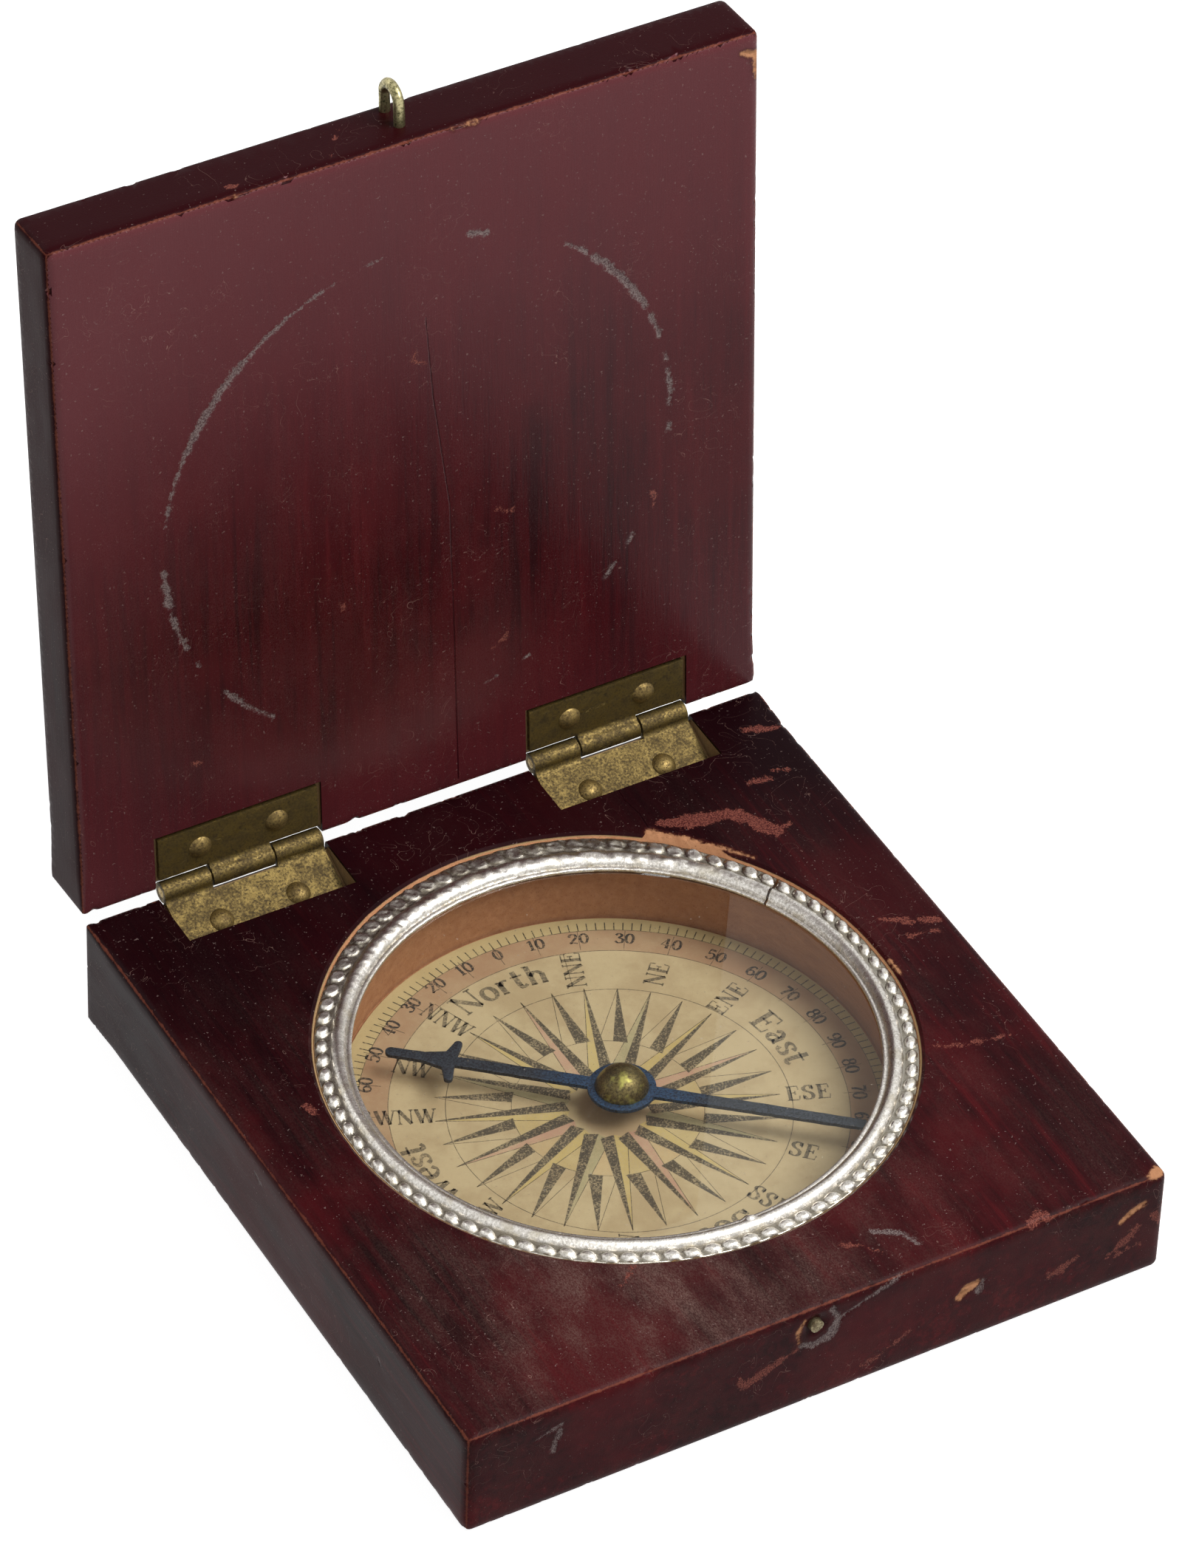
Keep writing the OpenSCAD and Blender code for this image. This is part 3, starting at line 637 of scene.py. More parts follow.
def wood(name, deep, middle, light, end, specular, roughness, haze_and_sheen):
    """Stained mahogany, its grain along the box's depth, worn where the marks say."""
    s = Shader(name)
    place = s.place(attribute="place")
    streak = s.noise(s.place((1.3, 0.05, 1.3), "place"), 1.0, 6, 0.62, 0.5)
    broad = s.noise(s.place((0.13, 0.02, 0.13), "place"), 1.0, 3, 0.5, 0.3)
    pores = s.noise(s.place((7.0, 0.45, 7.0), "place"), 1.0, 2, 0.5)
    speck = s.noise(place, 7.0, 3, 0.6)
    fleck = s.noise(s.place((9.0, 5.0, 9.0), "place"), 1.0, 4, 0.7)
    cloud = s.noise(s.place((0.24, 0.1, 0.24), "place"), 1.0, 5, 0.62)
    ragged = s.add(s.times(s.noise(place, 3.5, 4, 0.72), 0.45), s.times(s.noise(place, 0.9, 3, 0.6), 0.55))
    tone = s.add(s.times(streak, 0.55), s.times(broad, 0.45))
    colour = s.mix(s.ramp(tone, 0.36, 0.5), deep, middle)
    colour = s.mix(s.ramp(tone, 0.5, 0.68), colour, light)
    colour = s.mix(s.ramp(pores, 0.58, 0.68, 0.0, 0.45), colour, deep)
    film_and_sheen = s.times(s.ramp(cloud, 0.38, 0.66, 0.25, 1.0), s.ramp(fleck, 0.42, 0.6, 0.3, 1.0))
    glow = s.ramp(s.noise(s.place((0.07, 0.05, 0.07), "place"), 1.0, 4, 0.6), 0.46, 0.66, 0.0, 0.55)
    colour = s.mix(glow, colour, light)
    # Grey film: partly dust and bloom, partly a painted sheen
    colour = s.mix(s.times(s.times(film_and_sheen, haze_and_sheen), s.value("dust_and_painted_sheen")), colour, linear(112, 90, 82))
    # Painted light: toward end as a painted reflection, toward deep as painted shade
    painted_light_and_tone = s.value("painted_light_and_tone")
    colour = s.mix(s.math("MAXIMUM", painted_light_and_tone, 0.0), colour, end)
    colour = s.mix(s.math("MAXIMUM", s.times(painted_light_and_tone, -1.0), 0.0), colour, deep)
    dust = s.ramp(s.noise(place, 4.0, 2, 0.5), 0.69, 0.73, 0.0, 0.35)
    colour = s.mix(dust, colour, linear(150, 128, 122))
    hair = s.math("ABSOLUTE", s.add(s.noise(place, 0.28, 2, 0.4, 1.5), -0.5))
    patches = s.ramp(s.noise(place, 0.12, 2, 0.5), 0.5, 0.6, 0.0, 0.4)
    hair = s.times(s.ramp(hair, 0.0022, 0.0008), patches)
    colour = s.mix(hair, colour, linear(156, 122, 112))

    def mark(attribute, reach, spread=2.2):
        value = s.add(s.value(attribute), s.times(s.add(ragged, -0.5), -spread))
        return s.ramp(value, reach + 0.06, reach - 0.24)

    tan = s.mix(streak, linear(146, 96, 66), linear(196, 146, 108))
    tan = s.mix(s.ramp(speck, 0.55, 0.75, 0.0, 0.6), tan, linear(104, 62, 40))
    arris = s.ramp(s.add(s.value("edge"), s.times(s.add(ragged, -0.5), -0.9)), 0.24, 0.04, 0.0, 0.65)
    colour = s.mix(arris, colour, s.mix(ragged, linear(74, 30, 26), linear(150, 86, 66)))
    scuff = s.mix(s.ramp(speck, 0.35, 0.65), linear(62, 24, 26), linear(136, 78, 66))
    grey = s.mix(s.ramp(speck, 0.35, 0.65), linear(66, 50, 52), linear(136, 124, 120))
    colour = s.mix(s.times(mark("dent", 0.02, 2.0), 0.75), colour, grey)
    colour = s.mix(s.times(mark("pale", 0.04, 3.0), 0.85), colour, scuff)
    colour = s.mix(s.times(mark("bare", 0.26, 1.4), 0.7), colour, linear(64, 26, 22))
    bare = mark("bare", 0.02, 1.4)
    colour = s.mix(bare, colour, tan)
    cut = s.ramp(s.value("inner"), 0.24, 0.34)
    inside = s.mix(s.noise(s.place((9.0, 9.0, 0.8), "place"), 1.0, 4, 0.7), linear(122, 96, 66),
                   linear(184, 154, 112))
    inside = s.mix(s.ramp(s.cells(place, 3.2), 0.05, 0.18, 0.75, 0.0), inside, linear(96, 64, 42))
    colour = s.mix(cut, colour, inside)
    rim = s.ramp(s.add(s.value("rim"), s.times(s.add(ragged, -0.5), -0.3)), 0.05, -0.05)
    colour = s.mix(rim, colour, tan)
    crack = s.ramp(s.value("crack"), 0.05, -0.02, 0.0, 0.9)
    colour = s.mix(crack, colour, deep)
    worn = s.math("MAXIMUM", s.math("MAXIMUM", bare, cut), s.math("MAXIMUM", rim, s.times(arris, 0.6)))
    dull = s.add(s.times(film_and_sheen, 0.16), s.times(s.ramp(speck, 0.4, 0.7), 0.05))
    height = s.add(s.times(streak, 0.4), s.times(pores, -0.5))
    height = s.add(height, s.times(ragged, s.add(0.15, worn)))
    made = s.surface(
        Base_Color=colour,
        Roughness=s.between(worn, s.add(roughness, dull), 0.75),
        Normal=s.bump(s.add(height, s.times(crack, -2.0)), 0.35, 0.05),
    )
    made.node_tree.nodes["Principled BSDF"].inputs["Specular IOR Level"].default_value = specular
    return made


def metal(name, bright, dull, roughness, grain=6.0, share=0.5, hollows=None, metallic=1.0):
    """Old metal: bright where it is rubbed, dull and stippled elsewhere."""
    s = Shader(name)
    place = s.place()
    stipple = s.noise(place, grain, 4, 0.7)
    patch = s.noise(place, 0.7, 4, 0.65)
    scratch = s.noise(s.place((1.0, 14.0, 14.0)), 1.0, 3, 0.6)
    tone = s.add(s.times(stipple, 0.6), s.times(patch, 0.4))
    tone = s.ramp(tone, 0.5 - share * 0.22, 0.5 + (1 - share) * 0.3)
    colour = s.mix(tone, dull, bright)
    if hollows:
        colour = s.mix(s.ramp(stipple, 0.44, 0.34, 0.0, 0.8), colour, hollows)
    return s.surface(
        Base_Color=colour,
        Metallic=metallic,
        Roughness=s.ramp(tone, 0.0, 1.0, roughness + 0.22, roughness),
        Normal=s.bump(s.add(stipple, s.times(scratch, 0.4)), 0.3, 0.03),
    )


def reach_from(s, centre):
    """Distance across the card from a point of it."""
    away = s.node("VectorMath", operation="SUBTRACT")
    s.feed(away.inputs[0], s.place((1, 1, 0)))
    away.inputs[1].default_value = (*centre, 0)
    length = s.node("VectorMath", operation="LENGTH")
    s.feed(length.inputs[0], away.outputs[0])
    return length.outputs["Value"]


def blued_steel():
    """The needle's steel, blue round the hub and slate grey toward its ends."""
    s = Shader("blued_steel")
    place = s.place()
    stipple = s.noise(place, 5.0, 5, 0.75)
    patch = s.noise(place, 0.9, 3, 0.6)
    reach = s.add(reach_from(s, PIVOT), s.times(s.add(patch, -0.5), 5.0))
    blue = s.mix(s.ramp(stipple, 0.35, 0.65), linear(24, 38, 60), linear(54, 82, 114))
    slate = s.mix(s.ramp(stipple, 0.35, 0.65), linear(30, 34, 42), linear(66, 72, 82))
    colour = s.mix(s.ramp(reach, 4.6, 9.0), blue, slate)
    colour = s.mix(s.ramp(stipple, 0.47, 0.38, 0.0, 0.8), colour, linear(34, 32, 34))
    return s.surface(
        Base_Color=colour, Metallic=0.55, Roughness=s.ramp(stipple, 0.3, 0.7, 0.55, 0.38),
        Normal=s.bump(stipple, 0.4, 0.04),
    )


def cap_brass():
    """The cap's brass, brown with age, with bright yellow-green patches that are a painted reflection."""
    s = Shader("cap_brass")
    place = s.place()
    stipple = s.noise(place, 4.5, 5, 0.75)
    patch = s.noise(place, 0.55, 3, 0.6)
    colour = s.mix(s.ramp(stipple, 0.3, 0.7), linear(54, 46, 30), linear(116, 102, 62))
    # Painted reflection: bright yellow-green patches on the cap
    colour = s.mix(s.ramp(patch, 0.5, 0.62, 0.0, 0.85), colour, linear(158, 152, 80))
    return s.surface(
        Base_Color=colour, Metallic=0.85, Roughness=s.ramp(stipple, 0.3, 0.7, 0.52, 0.32),
        Normal=s.bump(stipple, 0.5, 0.05),
    )


def clear_glass():
    """Old flat glass with a few specks."""
    s = Shader("glass")
    fresnel = s.node("Fresnel")
    fresnel.inputs["IOR"].default_value = 1.45
    clear = s.node("BsdfTransparent")
    clear.inputs["Color"].default_value = (0.97, 0.975, 0.96, 1)
    shine = s.node("BsdfGlossy")
    shine.inputs["Roughness"].default_value = 0.02
    joined = s.node("MixShader")
    outside = s.math("SUBTRACT", 1.0, s.node("NewGeometry").outputs["Backfacing"])
    s.feed(joined.inputs[0], s.times(fresnel.outputs[0], outside))
    s.feed(joined.inputs[1], clear.outputs[0])
    s.feed(joined.inputs[2], shine.outputs[0])
    dirt = s.node("BsdfDiffuse")
    dirt.inputs["Color"].default_value = linear(206, 196, 176)
    dust_and_painted_sheen = s.node("MixShader")
    specks = s.ramp(s.noise(s.place(), 2.4, 2, 0.5), 0.72, 0.78, 0.0, 0.25)
    s.feed(dust_and_painted_sheen.inputs[0], specks)
    s.feed(dust_and_painted_sheen.inputs[1], joined.outputs[0])
    s.feed(dust_and_painted_sheen.inputs[2], dirt.outputs[0])
    s.feed(s.output.inputs["Surface"], dust_and_painted_sheen.outputs[0])
    return s.material


# The card's print. The rose and the circles were printed a little off the card's middle
ROSE = WELL + np.array([-0.57, 0.25])
RINGS = WELL + np.array([0.28, -0.34])
LABELS = WELL + np.array([-0.25, 0.0])
ROSE_TURN = -1.4
ROSE_R = 15.6
BAND_R = 20.75
TICK_R = 23.5
HUB_R = 3.85
STEP_R = 8.67
LONG_HALF = 1.15
SHORT_HALF = 1.3


def paper(s):
    """The card's paper: cream, with a pink band of numbers and a yellow one of ticks."""
    reach = reach_from(s, RINGS)
    place = s.place()
    stain = s.noise(place, 0.16, 5, 0.65)
    fibre = s.noise(place, 3.2, 5, 0.75)
    colour = s.mix(s.ramp(stain, 0.36, 0.64), linear(178, 155, 118), linear(194, 173, 135))
    band = s.times(s.ramp(reach, BAND_R - 0.1, BAND_R + 0.1), s.ramp(reach, TICK_R + 0.1, TICK_R - 0.1))
    colour = s.mix(s.times(band, s.ramp(stain, 0.3, 0.7, 0.75, 0.5)), colour, linear(160, 118, 90))
    outer = s.ramp(reach, TICK_R - 0.1, TICK_R + 0.1)
    colour = s.mix(s.times(outer, 0.6), colour, linear(190, 170, 118))
    colour = s.mix(s.ramp(reach, HUB_R + 0.4, HUB_R - 0.6, 0.0, 0.6), colour, linear(158, 128, 96))
    colour = s.mix(s.ramp(fibre, 0.55, 0.75, 0.0, 0.35), colour, linear(138, 112, 80))
    colour = s.mix(s.ramp(fibre, 0.42, 0.3, 0.0, 0.22), colour, linear(214, 204, 174))
    return colour, fibre


def card_paper():
    s = Shader("card_paper")
    colour, fibre = paper(s)
    return s.surface(Base_Color=colour, Roughness=0.85, Normal=s.bump(fibre, 0.25, 0.03))


def card_print():
    """Worn ink and washes of colour, with the paper showing through."""
    s = Shader("card_print")
    colour, fibre = paper(s)
    place = s.place()
    grit = s.noise(place, 5.0, 4, 0.8)
    worn = s.noise(place, 0.5, 4, 0.6)
    tint = s.node("Attribute", attribute_name="tint")
    hold = s.ramp(s.add(s.times(grit, 0.75), s.times(worn, 0.25)), 0.6, 0.48, 0.35, 1.0)
    colour = s.mix(s.times(hold, s.value("strength")), colour, tint.outputs["Color"])
    return s.surface(Base_Color=colour, Roughness=0.85, Normal=s.bump(fibre, 0.25, 0.03))


class Print:
    """Flat ink on the card: closed ribbons, each with a colour and a strength."""

    def __init__(self):
        self.points = []
        self.faces = []
        self.tints = []
        self.strengths = []

    def ribbon(self, left, right, tint, strength, rise=0.008):
        """A closed ribbon between two lines of points on the card."""
        count = len(left)
        first = len(self.points)
        for height in (CARD_Z - 0.004, CARD_Z + rise):
            for side in (left, right):
                self.points += [(x, y, height) for x, y in side]
        self.tints += [tint] * (4 * count)
        self.strengths += [strength] * (4 * count)
        low_left, low_right, top_left, top_right = (first + count * k for k in range(4))
        for i in range(count - 1):
            j = i + 1
            self.faces += [
                (top_left + i, top_right + i, top_right + j, top_left + j),
                (low_left + i, low_left + j, low_right + j, low_right + i),
                (low_left + i, top_left + i, top_left + j, low_left + j),
                (low_right + i, low_right + j, top_right + j, top_right + i),
            ]
        for i, turn in ((0, 1), (count - 1, -1)):
            end = (low_left + i, low_right + i, top_right + i, top_left + i)
            self.faces.append(end[::turn])

    def line(self, points, width, tint, strength):
        """A ribbon along a line of points, of one width or one per point."""
        points = np.asarray(points, float)
        way = np.gradient(points, axis=0)
        way /= np.maximum(np.linalg.norm(way, axis=1), 1e-9)[:, None]
        off = np.column_stack([-way[:, 1], way[:, 0]]) * (np.asarray(width).reshape(-1, 1) / 2)
        self.ribbon(points + off, points - off, tint, strength)

    def arc(self, centre, radius, start, end, width, tint, strength):
        """Part of a circle between two bearings, clockwise from the back."""
        count = max(3, int(abs(end - start) / 2))
        points = [spot(centre, b, radius) for b in np.linspace(start, end, count + 1)]
        self.line(points, width, tint, strength)


def spot(centre, bearing, radius):
    """A point of the card, by its bearing clockwise from the hinged side."""
    b = math.radians(bearing)
    return centre[0] + radius * math.sin(b), centre[1] + radius * math.cos(b)


def curve(*corners, steps=5):
    """A smooth line through the corners."""
    pts = np.array([corners[0], *corners, corners[-1]], float)
    made = [pts[1]]
    for a, b, c, d in zip(pts[:-3], pts[1:-2], pts[2:-1], pts[3:]):
        for k in range(1, steps + 1):
            t = k / steps
            made.append(
                0.5 * (2 * b + (c - a) * t + (2 * a - 5 * b + 4 * c - d) * t ** 2
                       + (3 * b - a - 3 * c + d) * t ** 3))
    return made


def oval(cx, cy, rx, ry):
    turn = np.linspace(0, 2 * math.pi, 17)
    return [(cx + rx * math.sin(t), cy + ry * math.cos(t)) for t in turn]


# Letters and figures of a plain printed roman, as pen strokes on a body of height 1.
# S is a thick stroke, H a hairline, C a curve that is thick where it runs upright
S, H, C = "stem", "hair", "curve"
FOOT = 0.11


def serif(x, y, half=FOOT):
    return H, [(x - half, y), (x + half, y)]


SIX = [(C, curve((0.5, 0.88), (0.34, 0.98), (0.15, 0.72), (0.1, 0.32), (0.2, 0.04), (0.38, 0.02),
                 (0.53, 0.2), (0.5, 0.44), (0.32, 0.56), (0.14, 0.42)))]
ESS = curve((0.58, 0.76), (0.5, 0.96), (0.3, 0.98), (0.14, 0.8), (0.24, 0.6), (0.48, 0.46),
            (0.6, 0.26), (0.5, 0.04), (0.26, 0.02), (0.12, 0.24))
GLYPHS = {
    "N": (0.94, [(H, [(0.16, 0), (0.16, 1)]), (S, [(0.14, 1), (0.76, 0)]), (H, [(0.76, 0), (0.76, 1)]),
                 serif(0.16, 0), serif(0.1, 1), serif(0.76, 1)]),
    "E": (0.82, [(S, [(0.22, 0), (0.22, 1)]), (H, [(0.06, 1), (0.66, 1), (0.68, 0.74)]),
                 (H, [(0.22, 0.52), (0.5, 0.52)]), (H, [(0.5, 0.66), (0.5, 0.38)]),
                 (H, [(0.06, 0), (0.68, 0), (0.72, 0.28)])]),
    "S": (0.76, [(C, ESS), (H, [(0.6, 0.68), (0.6, 1)]), (H, [(0.1, 0.32), (0.1, 0)])]),
    "W": (1.14, [(S, [(0.1, 1), (0.36, 0)]), (H, [(0.36, 0), (0.58, 1)]), (S, [(0.54, 1), (0.8, 0)]),
                 (H, [(0.8, 0), (1.02, 1)]), serif(0.1, 1), serif(0.54, 1), serif(1.02, 1)]),
    "o": (0.62, [(C, oval(0.31, 0.33, 0.22, 0.34))]),
    "r": (0.56, [(S, [(0.18, 0), (0.18, 0.66)]), (C, curve((0.18, 0.42), (0.3, 0.64), (0.46, 0.62))),
                 serif(0.18, 0), serif(0.12, 0.66, 0.06)]),
    "t": (0.5, [(S, [(0.2, 0.94), (0.2, 0.14)]), (C, curve((0.2, 0.16), (0.28, 0.0), (0.44, 0.12))),
                (H, [(0.04, 0.66), (0.42, 0.66)])]),
    "h": (0.74, [(S, [(0.16, 0), (0.16, 1)]), (C, curve((0.16, 0.44), (0.34, 0.66), (0.54, 0.5))),
                 (S, [(0.54, 0.5), (0.54, 0)]), serif(0.16, 0), serif(0.54, 0), serif(0.1, 1, 0.07)]),
    "u": (0.74, [(S, [(0.16, 0.66), (0.16, 0.16)]), (C, curve((0.16, 0.18), (0.32, 0.0), (0.54, 0.18))),
                 (S, [(0.54, 0.66), (0.54, 0)]), serif(0.1, 0.66, 0.07), serif(0.48, 0.66, 0.07)]),
    "e": (0.6, [(H, [(0.1, 0.36), (0.5, 0.36)]),
                (C, curve((0.5, 0.36), (0.46, 0.6), (0.3, 0.67), (0.12, 0.5), (0.1, 0.2), (0.3, 0.0),
                          (0.5, 0.14)))]),
    "a": (0.64, [(S, [(0.44, 0.5), (0.44, 0.04)]), (H, [(0.44, 0.04), (0.56, 0.04)]),
                 (C, curve((0.12, 0.5), (0.28, 0.67), (0.44, 0.48))),
                 (C, curve((0.44, 0.38), (0.2, 0.32), (0.1, 0.14), (0.24, 0.0), (0.44, 0.14)))]),
    "s": (0.54, [(C, [(x * 0.76, y * 0.67) for x, y in ESS])]),
    "0": (0.64, [(C, oval(0.32, 0.5, 0.22, 0.5))]),
    "1": (0.5, [(S, [(0.28, 0), (0.28, 1)]), (H, [(0.28, 1), (0.1, 0.84)]), serif(0.28, 0, 0.16)]),
    "2": (0.64, [(C, curve((0.1, 0.72), (0.18, 0.96), (0.42, 0.97), (0.5, 0.7), (0.3, 0.34), (0.08, 0.04))),
                 (C, curve((0.08, 0.04), (0.3, 0.1), (0.54, 0.02)))]),
    "3": (0.62, [(C, curve((0.12, 0.82), (0.3, 1.0), (0.48, 0.8), (0.26, 0.54))),
                 (C, curve((0.26, 0.54), (0.52, 0.4), (0.48, 0.08), (0.24, 0.0), (0.08, 0.18)))]),
    "4": (0.68, [(H, [(0.42, 1), (0.06, 0.28), (0.6, 0.28)]), (S, [(0.42, 1), (0.42, 0)]), serif(0.42, 0)]),
    "5": (0.62, [(S, [(0.16, 0.96), (0.5, 0.96)]), (H, [(0.16, 1), (0.12, 0.52)]),
                 (C, curve((0.12, 0.52), (0.36, 0.64), (0.54, 0.4), (0.44, 0.06), (0.22, 0.0),
                           (0.08, 0.16)))]),
    "6": (0.64, SIX),
    "7": (0.6, [(S, [(0.1, 0.96), (0.54, 0.96)]), (C, curve((0.54, 0.96), (0.34, 0.5), (0.26, 0.0)))]),
    "8": (0.62, [(C, oval(0.31, 0.76, 0.17, 0.24)), (C, oval(0.31, 0.27, 0.22, 0.27))]),
    "9": (0.64, [(kind, [(0.64 - x, 1 - y) for x, y in points]) for kind, points in SIX]),
}
THICK = {S: 0.21, H: 0.08, C: 0.0}


def write(ink, word, height, place, tint, strength, spread=1.0):
    """Prints a word, centred, where place(along, up) puts a point of its line of print."""
    length = sum(GLYPHS[letter][0] for letter in word) * spread
    start = -length / 2
    for letter in word:
        advance, strokes = GLYPHS[letter]
        for kind, points in strokes:
            points = np.array(points)
            way = np.gradient(points, axis=0)
            upright = np.abs(way[:, 1]) / np.maximum(np.linalg.norm(way, axis=1), 1e-9)
            width = 0.08 + 0.13 * upright ** 1.5 if kind == C else np.full(len(points), THICK[kind])
            mapped = [place((start + x * spread) * height, y * height) for x, y in points]
            ink.line(mapped, width * height, tint, strength)
        start += advance * spread


def round_words(centre, bearing, radius):
    """Print that runs clockwise round the card, its feet on a circle."""
    def place(along, up):
        return spot(centre, bearing + math.degrees(along / radius), radius + up)
    return place


def along_radius(centre, bearing, radius, outward):
    """Print that runs along a radius, read away from the middle or toward it."""
    b = math.radians(bearing)
    sense = 1 if outward else -1
    out = np.array([math.sin(b), math.cos(b)])
    side = np.array([-math.cos(b), math.sin(b)])
    middle = np.array(centre) + out * radius

    def place(along, up):
        return tuple(middle + sense * (out * along + side * up))
    return place


INK = linear(46, 41, 36)
PINK = linear(186, 104, 112)
GREEN = linear(112, 128, 88)
YELLOW = linear(206, 178, 66)
ORANGE = linear(206, 160, 92)
WASH = {0: PINK, 1: YELLOW, 2: GREEN, 3: YELLOW}
HALF_WINDS = {
    -22.5 - 1.7: "NNW", -46.5: "NW", -66.4: "WNW", 19.2: "NNE", 43.4: "NE", 66.0: "ENE",
    111.2: "ESE", 135.0: "SE", 157.5: "SSE", 202.5: "SSW", 225.0: "SW", 247.5: "WSW",
}
WINDS = {-3.5: "North", 87.9: "East", 180.0: "South", 270.0: "West"}


def print_rose(ink):
    """The star of 32 points: 16 long ones from the middle and 16 short ones between them."""
    for k in range(16):
        b = ROSE_TURN + 22.5 * k
        half = math.degrees(LONG_HALF / HUB_R)
        tip = spot(ROSE, b, ROSE_R)
        foot = spot(ROSE, b, HUB_R - 0.35)
        for sense in (1, -1):
            side = spot(ROSE, b + sense * half, HUB_R + 0.2)
            if sense > 0:
                ink.ribbon([foot, tip], [side, tip], INK, 0.92, 0.006)
            else:
                ink.ribbon([side, tip], [foot, tip], WASH[k % 4], 0.34, 0.004)
            ink.line([side, tip], 0.07, INK, 0.8)
        ink.line([foot, tip], 0.06, INK, 0.8)
        ink.arc(ROSE, HUB_R + 0.05, b + half, b + 22.5 - half, 0.07, INK, 0.7)
        if 3 < k < 13:
            inner = [spot(ROSE, b + t, HUB_R + 0.3) for t in (8, 11, 14)]
            outer = [spot(ROSE, b + t, STEP_R) for t in (3, 11, 19)]
            ink.ribbon(inner, outer, ORANGE if k % 2 else YELLOW, 0.2, 0.003)
        c = b + 11.25
        wide = math.degrees(SHORT_HALF / STEP_R)
        ink.arc(ROSE, STEP_R, b + 3.4, b + 22.5 - 3.4, 0.07, INK, 0.75)
        tip = spot(ROSE, c, ROSE_R)
        foot = spot(ROSE, c, STEP_R)
        right = spot(ROSE, c + wide, STEP_R)
        ink.ribbon([foot, tip], [right, tip], INK, 0.9, 0.006)
        for side in (right, foot, spot(ROSE, c - wide, STEP_R)):
            ink.line([side, tip], 0.06, INK, 0.8)


def label_bearing(bearing):
    """Where a number stands: the engraver spaced them unevenly."""
    return bearing + 0.9 + 4.6 * math.sin(math.radians(1.5 * (bearing - 10))) ** 2


def print_scale(ink):
    """Circles, ticks at every 2 degrees, and numbers at every 10 from both poles."""
    for radius, width in ((ROSE_R, 0.075), (BAND_R, 0.075), (TICK_R, 0.07)):
        ink.arc(RINGS, radius, 0, 360, width, INK, 0.75)
    for bearing in range(0, 360, 2):
        ink.line([spot(RINGS, bearing, TICK_R), spot(RINGS, bearing, CARD_R - 0.4)], 0.11, INK, 0.95)
    for bearing in range(-180, 180, 10):
        value = str(min(abs(bearing), 180 - abs(bearing)))
        stand = label_bearing(bearing)
        ink.line([spot(LABELS, stand, 20.9), spot(LABELS, stand, 23.4)], 0.07, INK, 0.75)
        write(ink, value, 1.25, round_words(LABELS, stand, 21.75), INK, 1.0, 1.2)


def print_card():
    """All of the card's print as one piece."""
    ink = Print()
    print_rose(ink)
    print_scale(ink)
    for bearing, word in WINDS.items():
        write(ink, word, 2.45, round_words(ROSE, bearing, 17.25), INK, 0.75, 1.12)
    for bearing, word in HALF_WINDS.items():
        place = along_radius(ROSE, bearing, 18.2, 0 < bearing < 180)
        write(ink, word, 1.75, lambda along, up, place=place: place(along, up - 0.85), INK, 0.78, 1.0)
    for bearing in (-21.2, 17.6):
        ink.line([spot(ROSE, bearing, 16.0), spot(ROSE, bearing, 20.4)], 0.07, INK, 0.7)
    piece = add_piece("card_print", ink.points, ink.faces, "base", card_print())
    set_values(piece.data, "strength", ink.strengths)
    made = piece.data.attributes.new("tint", "FLOAT_COLOR", "POINT")
    made.data.foreach_set("color", np.array(ink.tints, np.float32).ravel())
    return piece


# The pewter ring
BEAD_PITCH = 1.8
BAND_WIDTH = 1.35
BEAD_R = 0.575
BEAD_HALF = 0.74
ROUND_HALF = 0.8
ROUND_HEIGHT = 1.05
FOOT_HEIGHT = 0.35
BAND_HEIGHT = 0.5
SPLIT = 27
SPLIT_SLANT = 12
SPLIT_WIDTH = 0.26
SEGMENTS = 12
GROOVE_R = RING_R - BAND_WIDTH
LID_CLEAR = 0.04


def ring_profile():
    """The ring's section from its inner lip over its top and back below, as (r, z, kind)."""
    low = RING_LOW[2]
    inner = RING_R - BAND_WIDTH - 2 * ROUND_HALF
    lip = LIP_R
    points = [(lip, low + 0.05), (lip, low + FOOT_HEIGHT - 0.06), (lip + 0.06, low + FOOT_HEIGHT)]
    points.append((inner - 0.06, low + FOOT_HEIGHT))
    for t in np.linspace(0.3, math.pi - 0.5, 14):
        points.append((inner + ROUND_HALF * (1 - math.cos(t)), low + ROUND_HEIGHT * math.sin(t)))
    band = low + BAND_HEIGHT
    points += [(RING_R - BAND_WIDTH + d, band) for d in np.linspace(0.02, BAND_WIDTH - 0.06, 15)]
    points += [(RING_R, band - 0.06), (RING_R, low + 0.06), (RING_R - 0.06, low), (lip + 0.05, low)]
    return np.array(points)


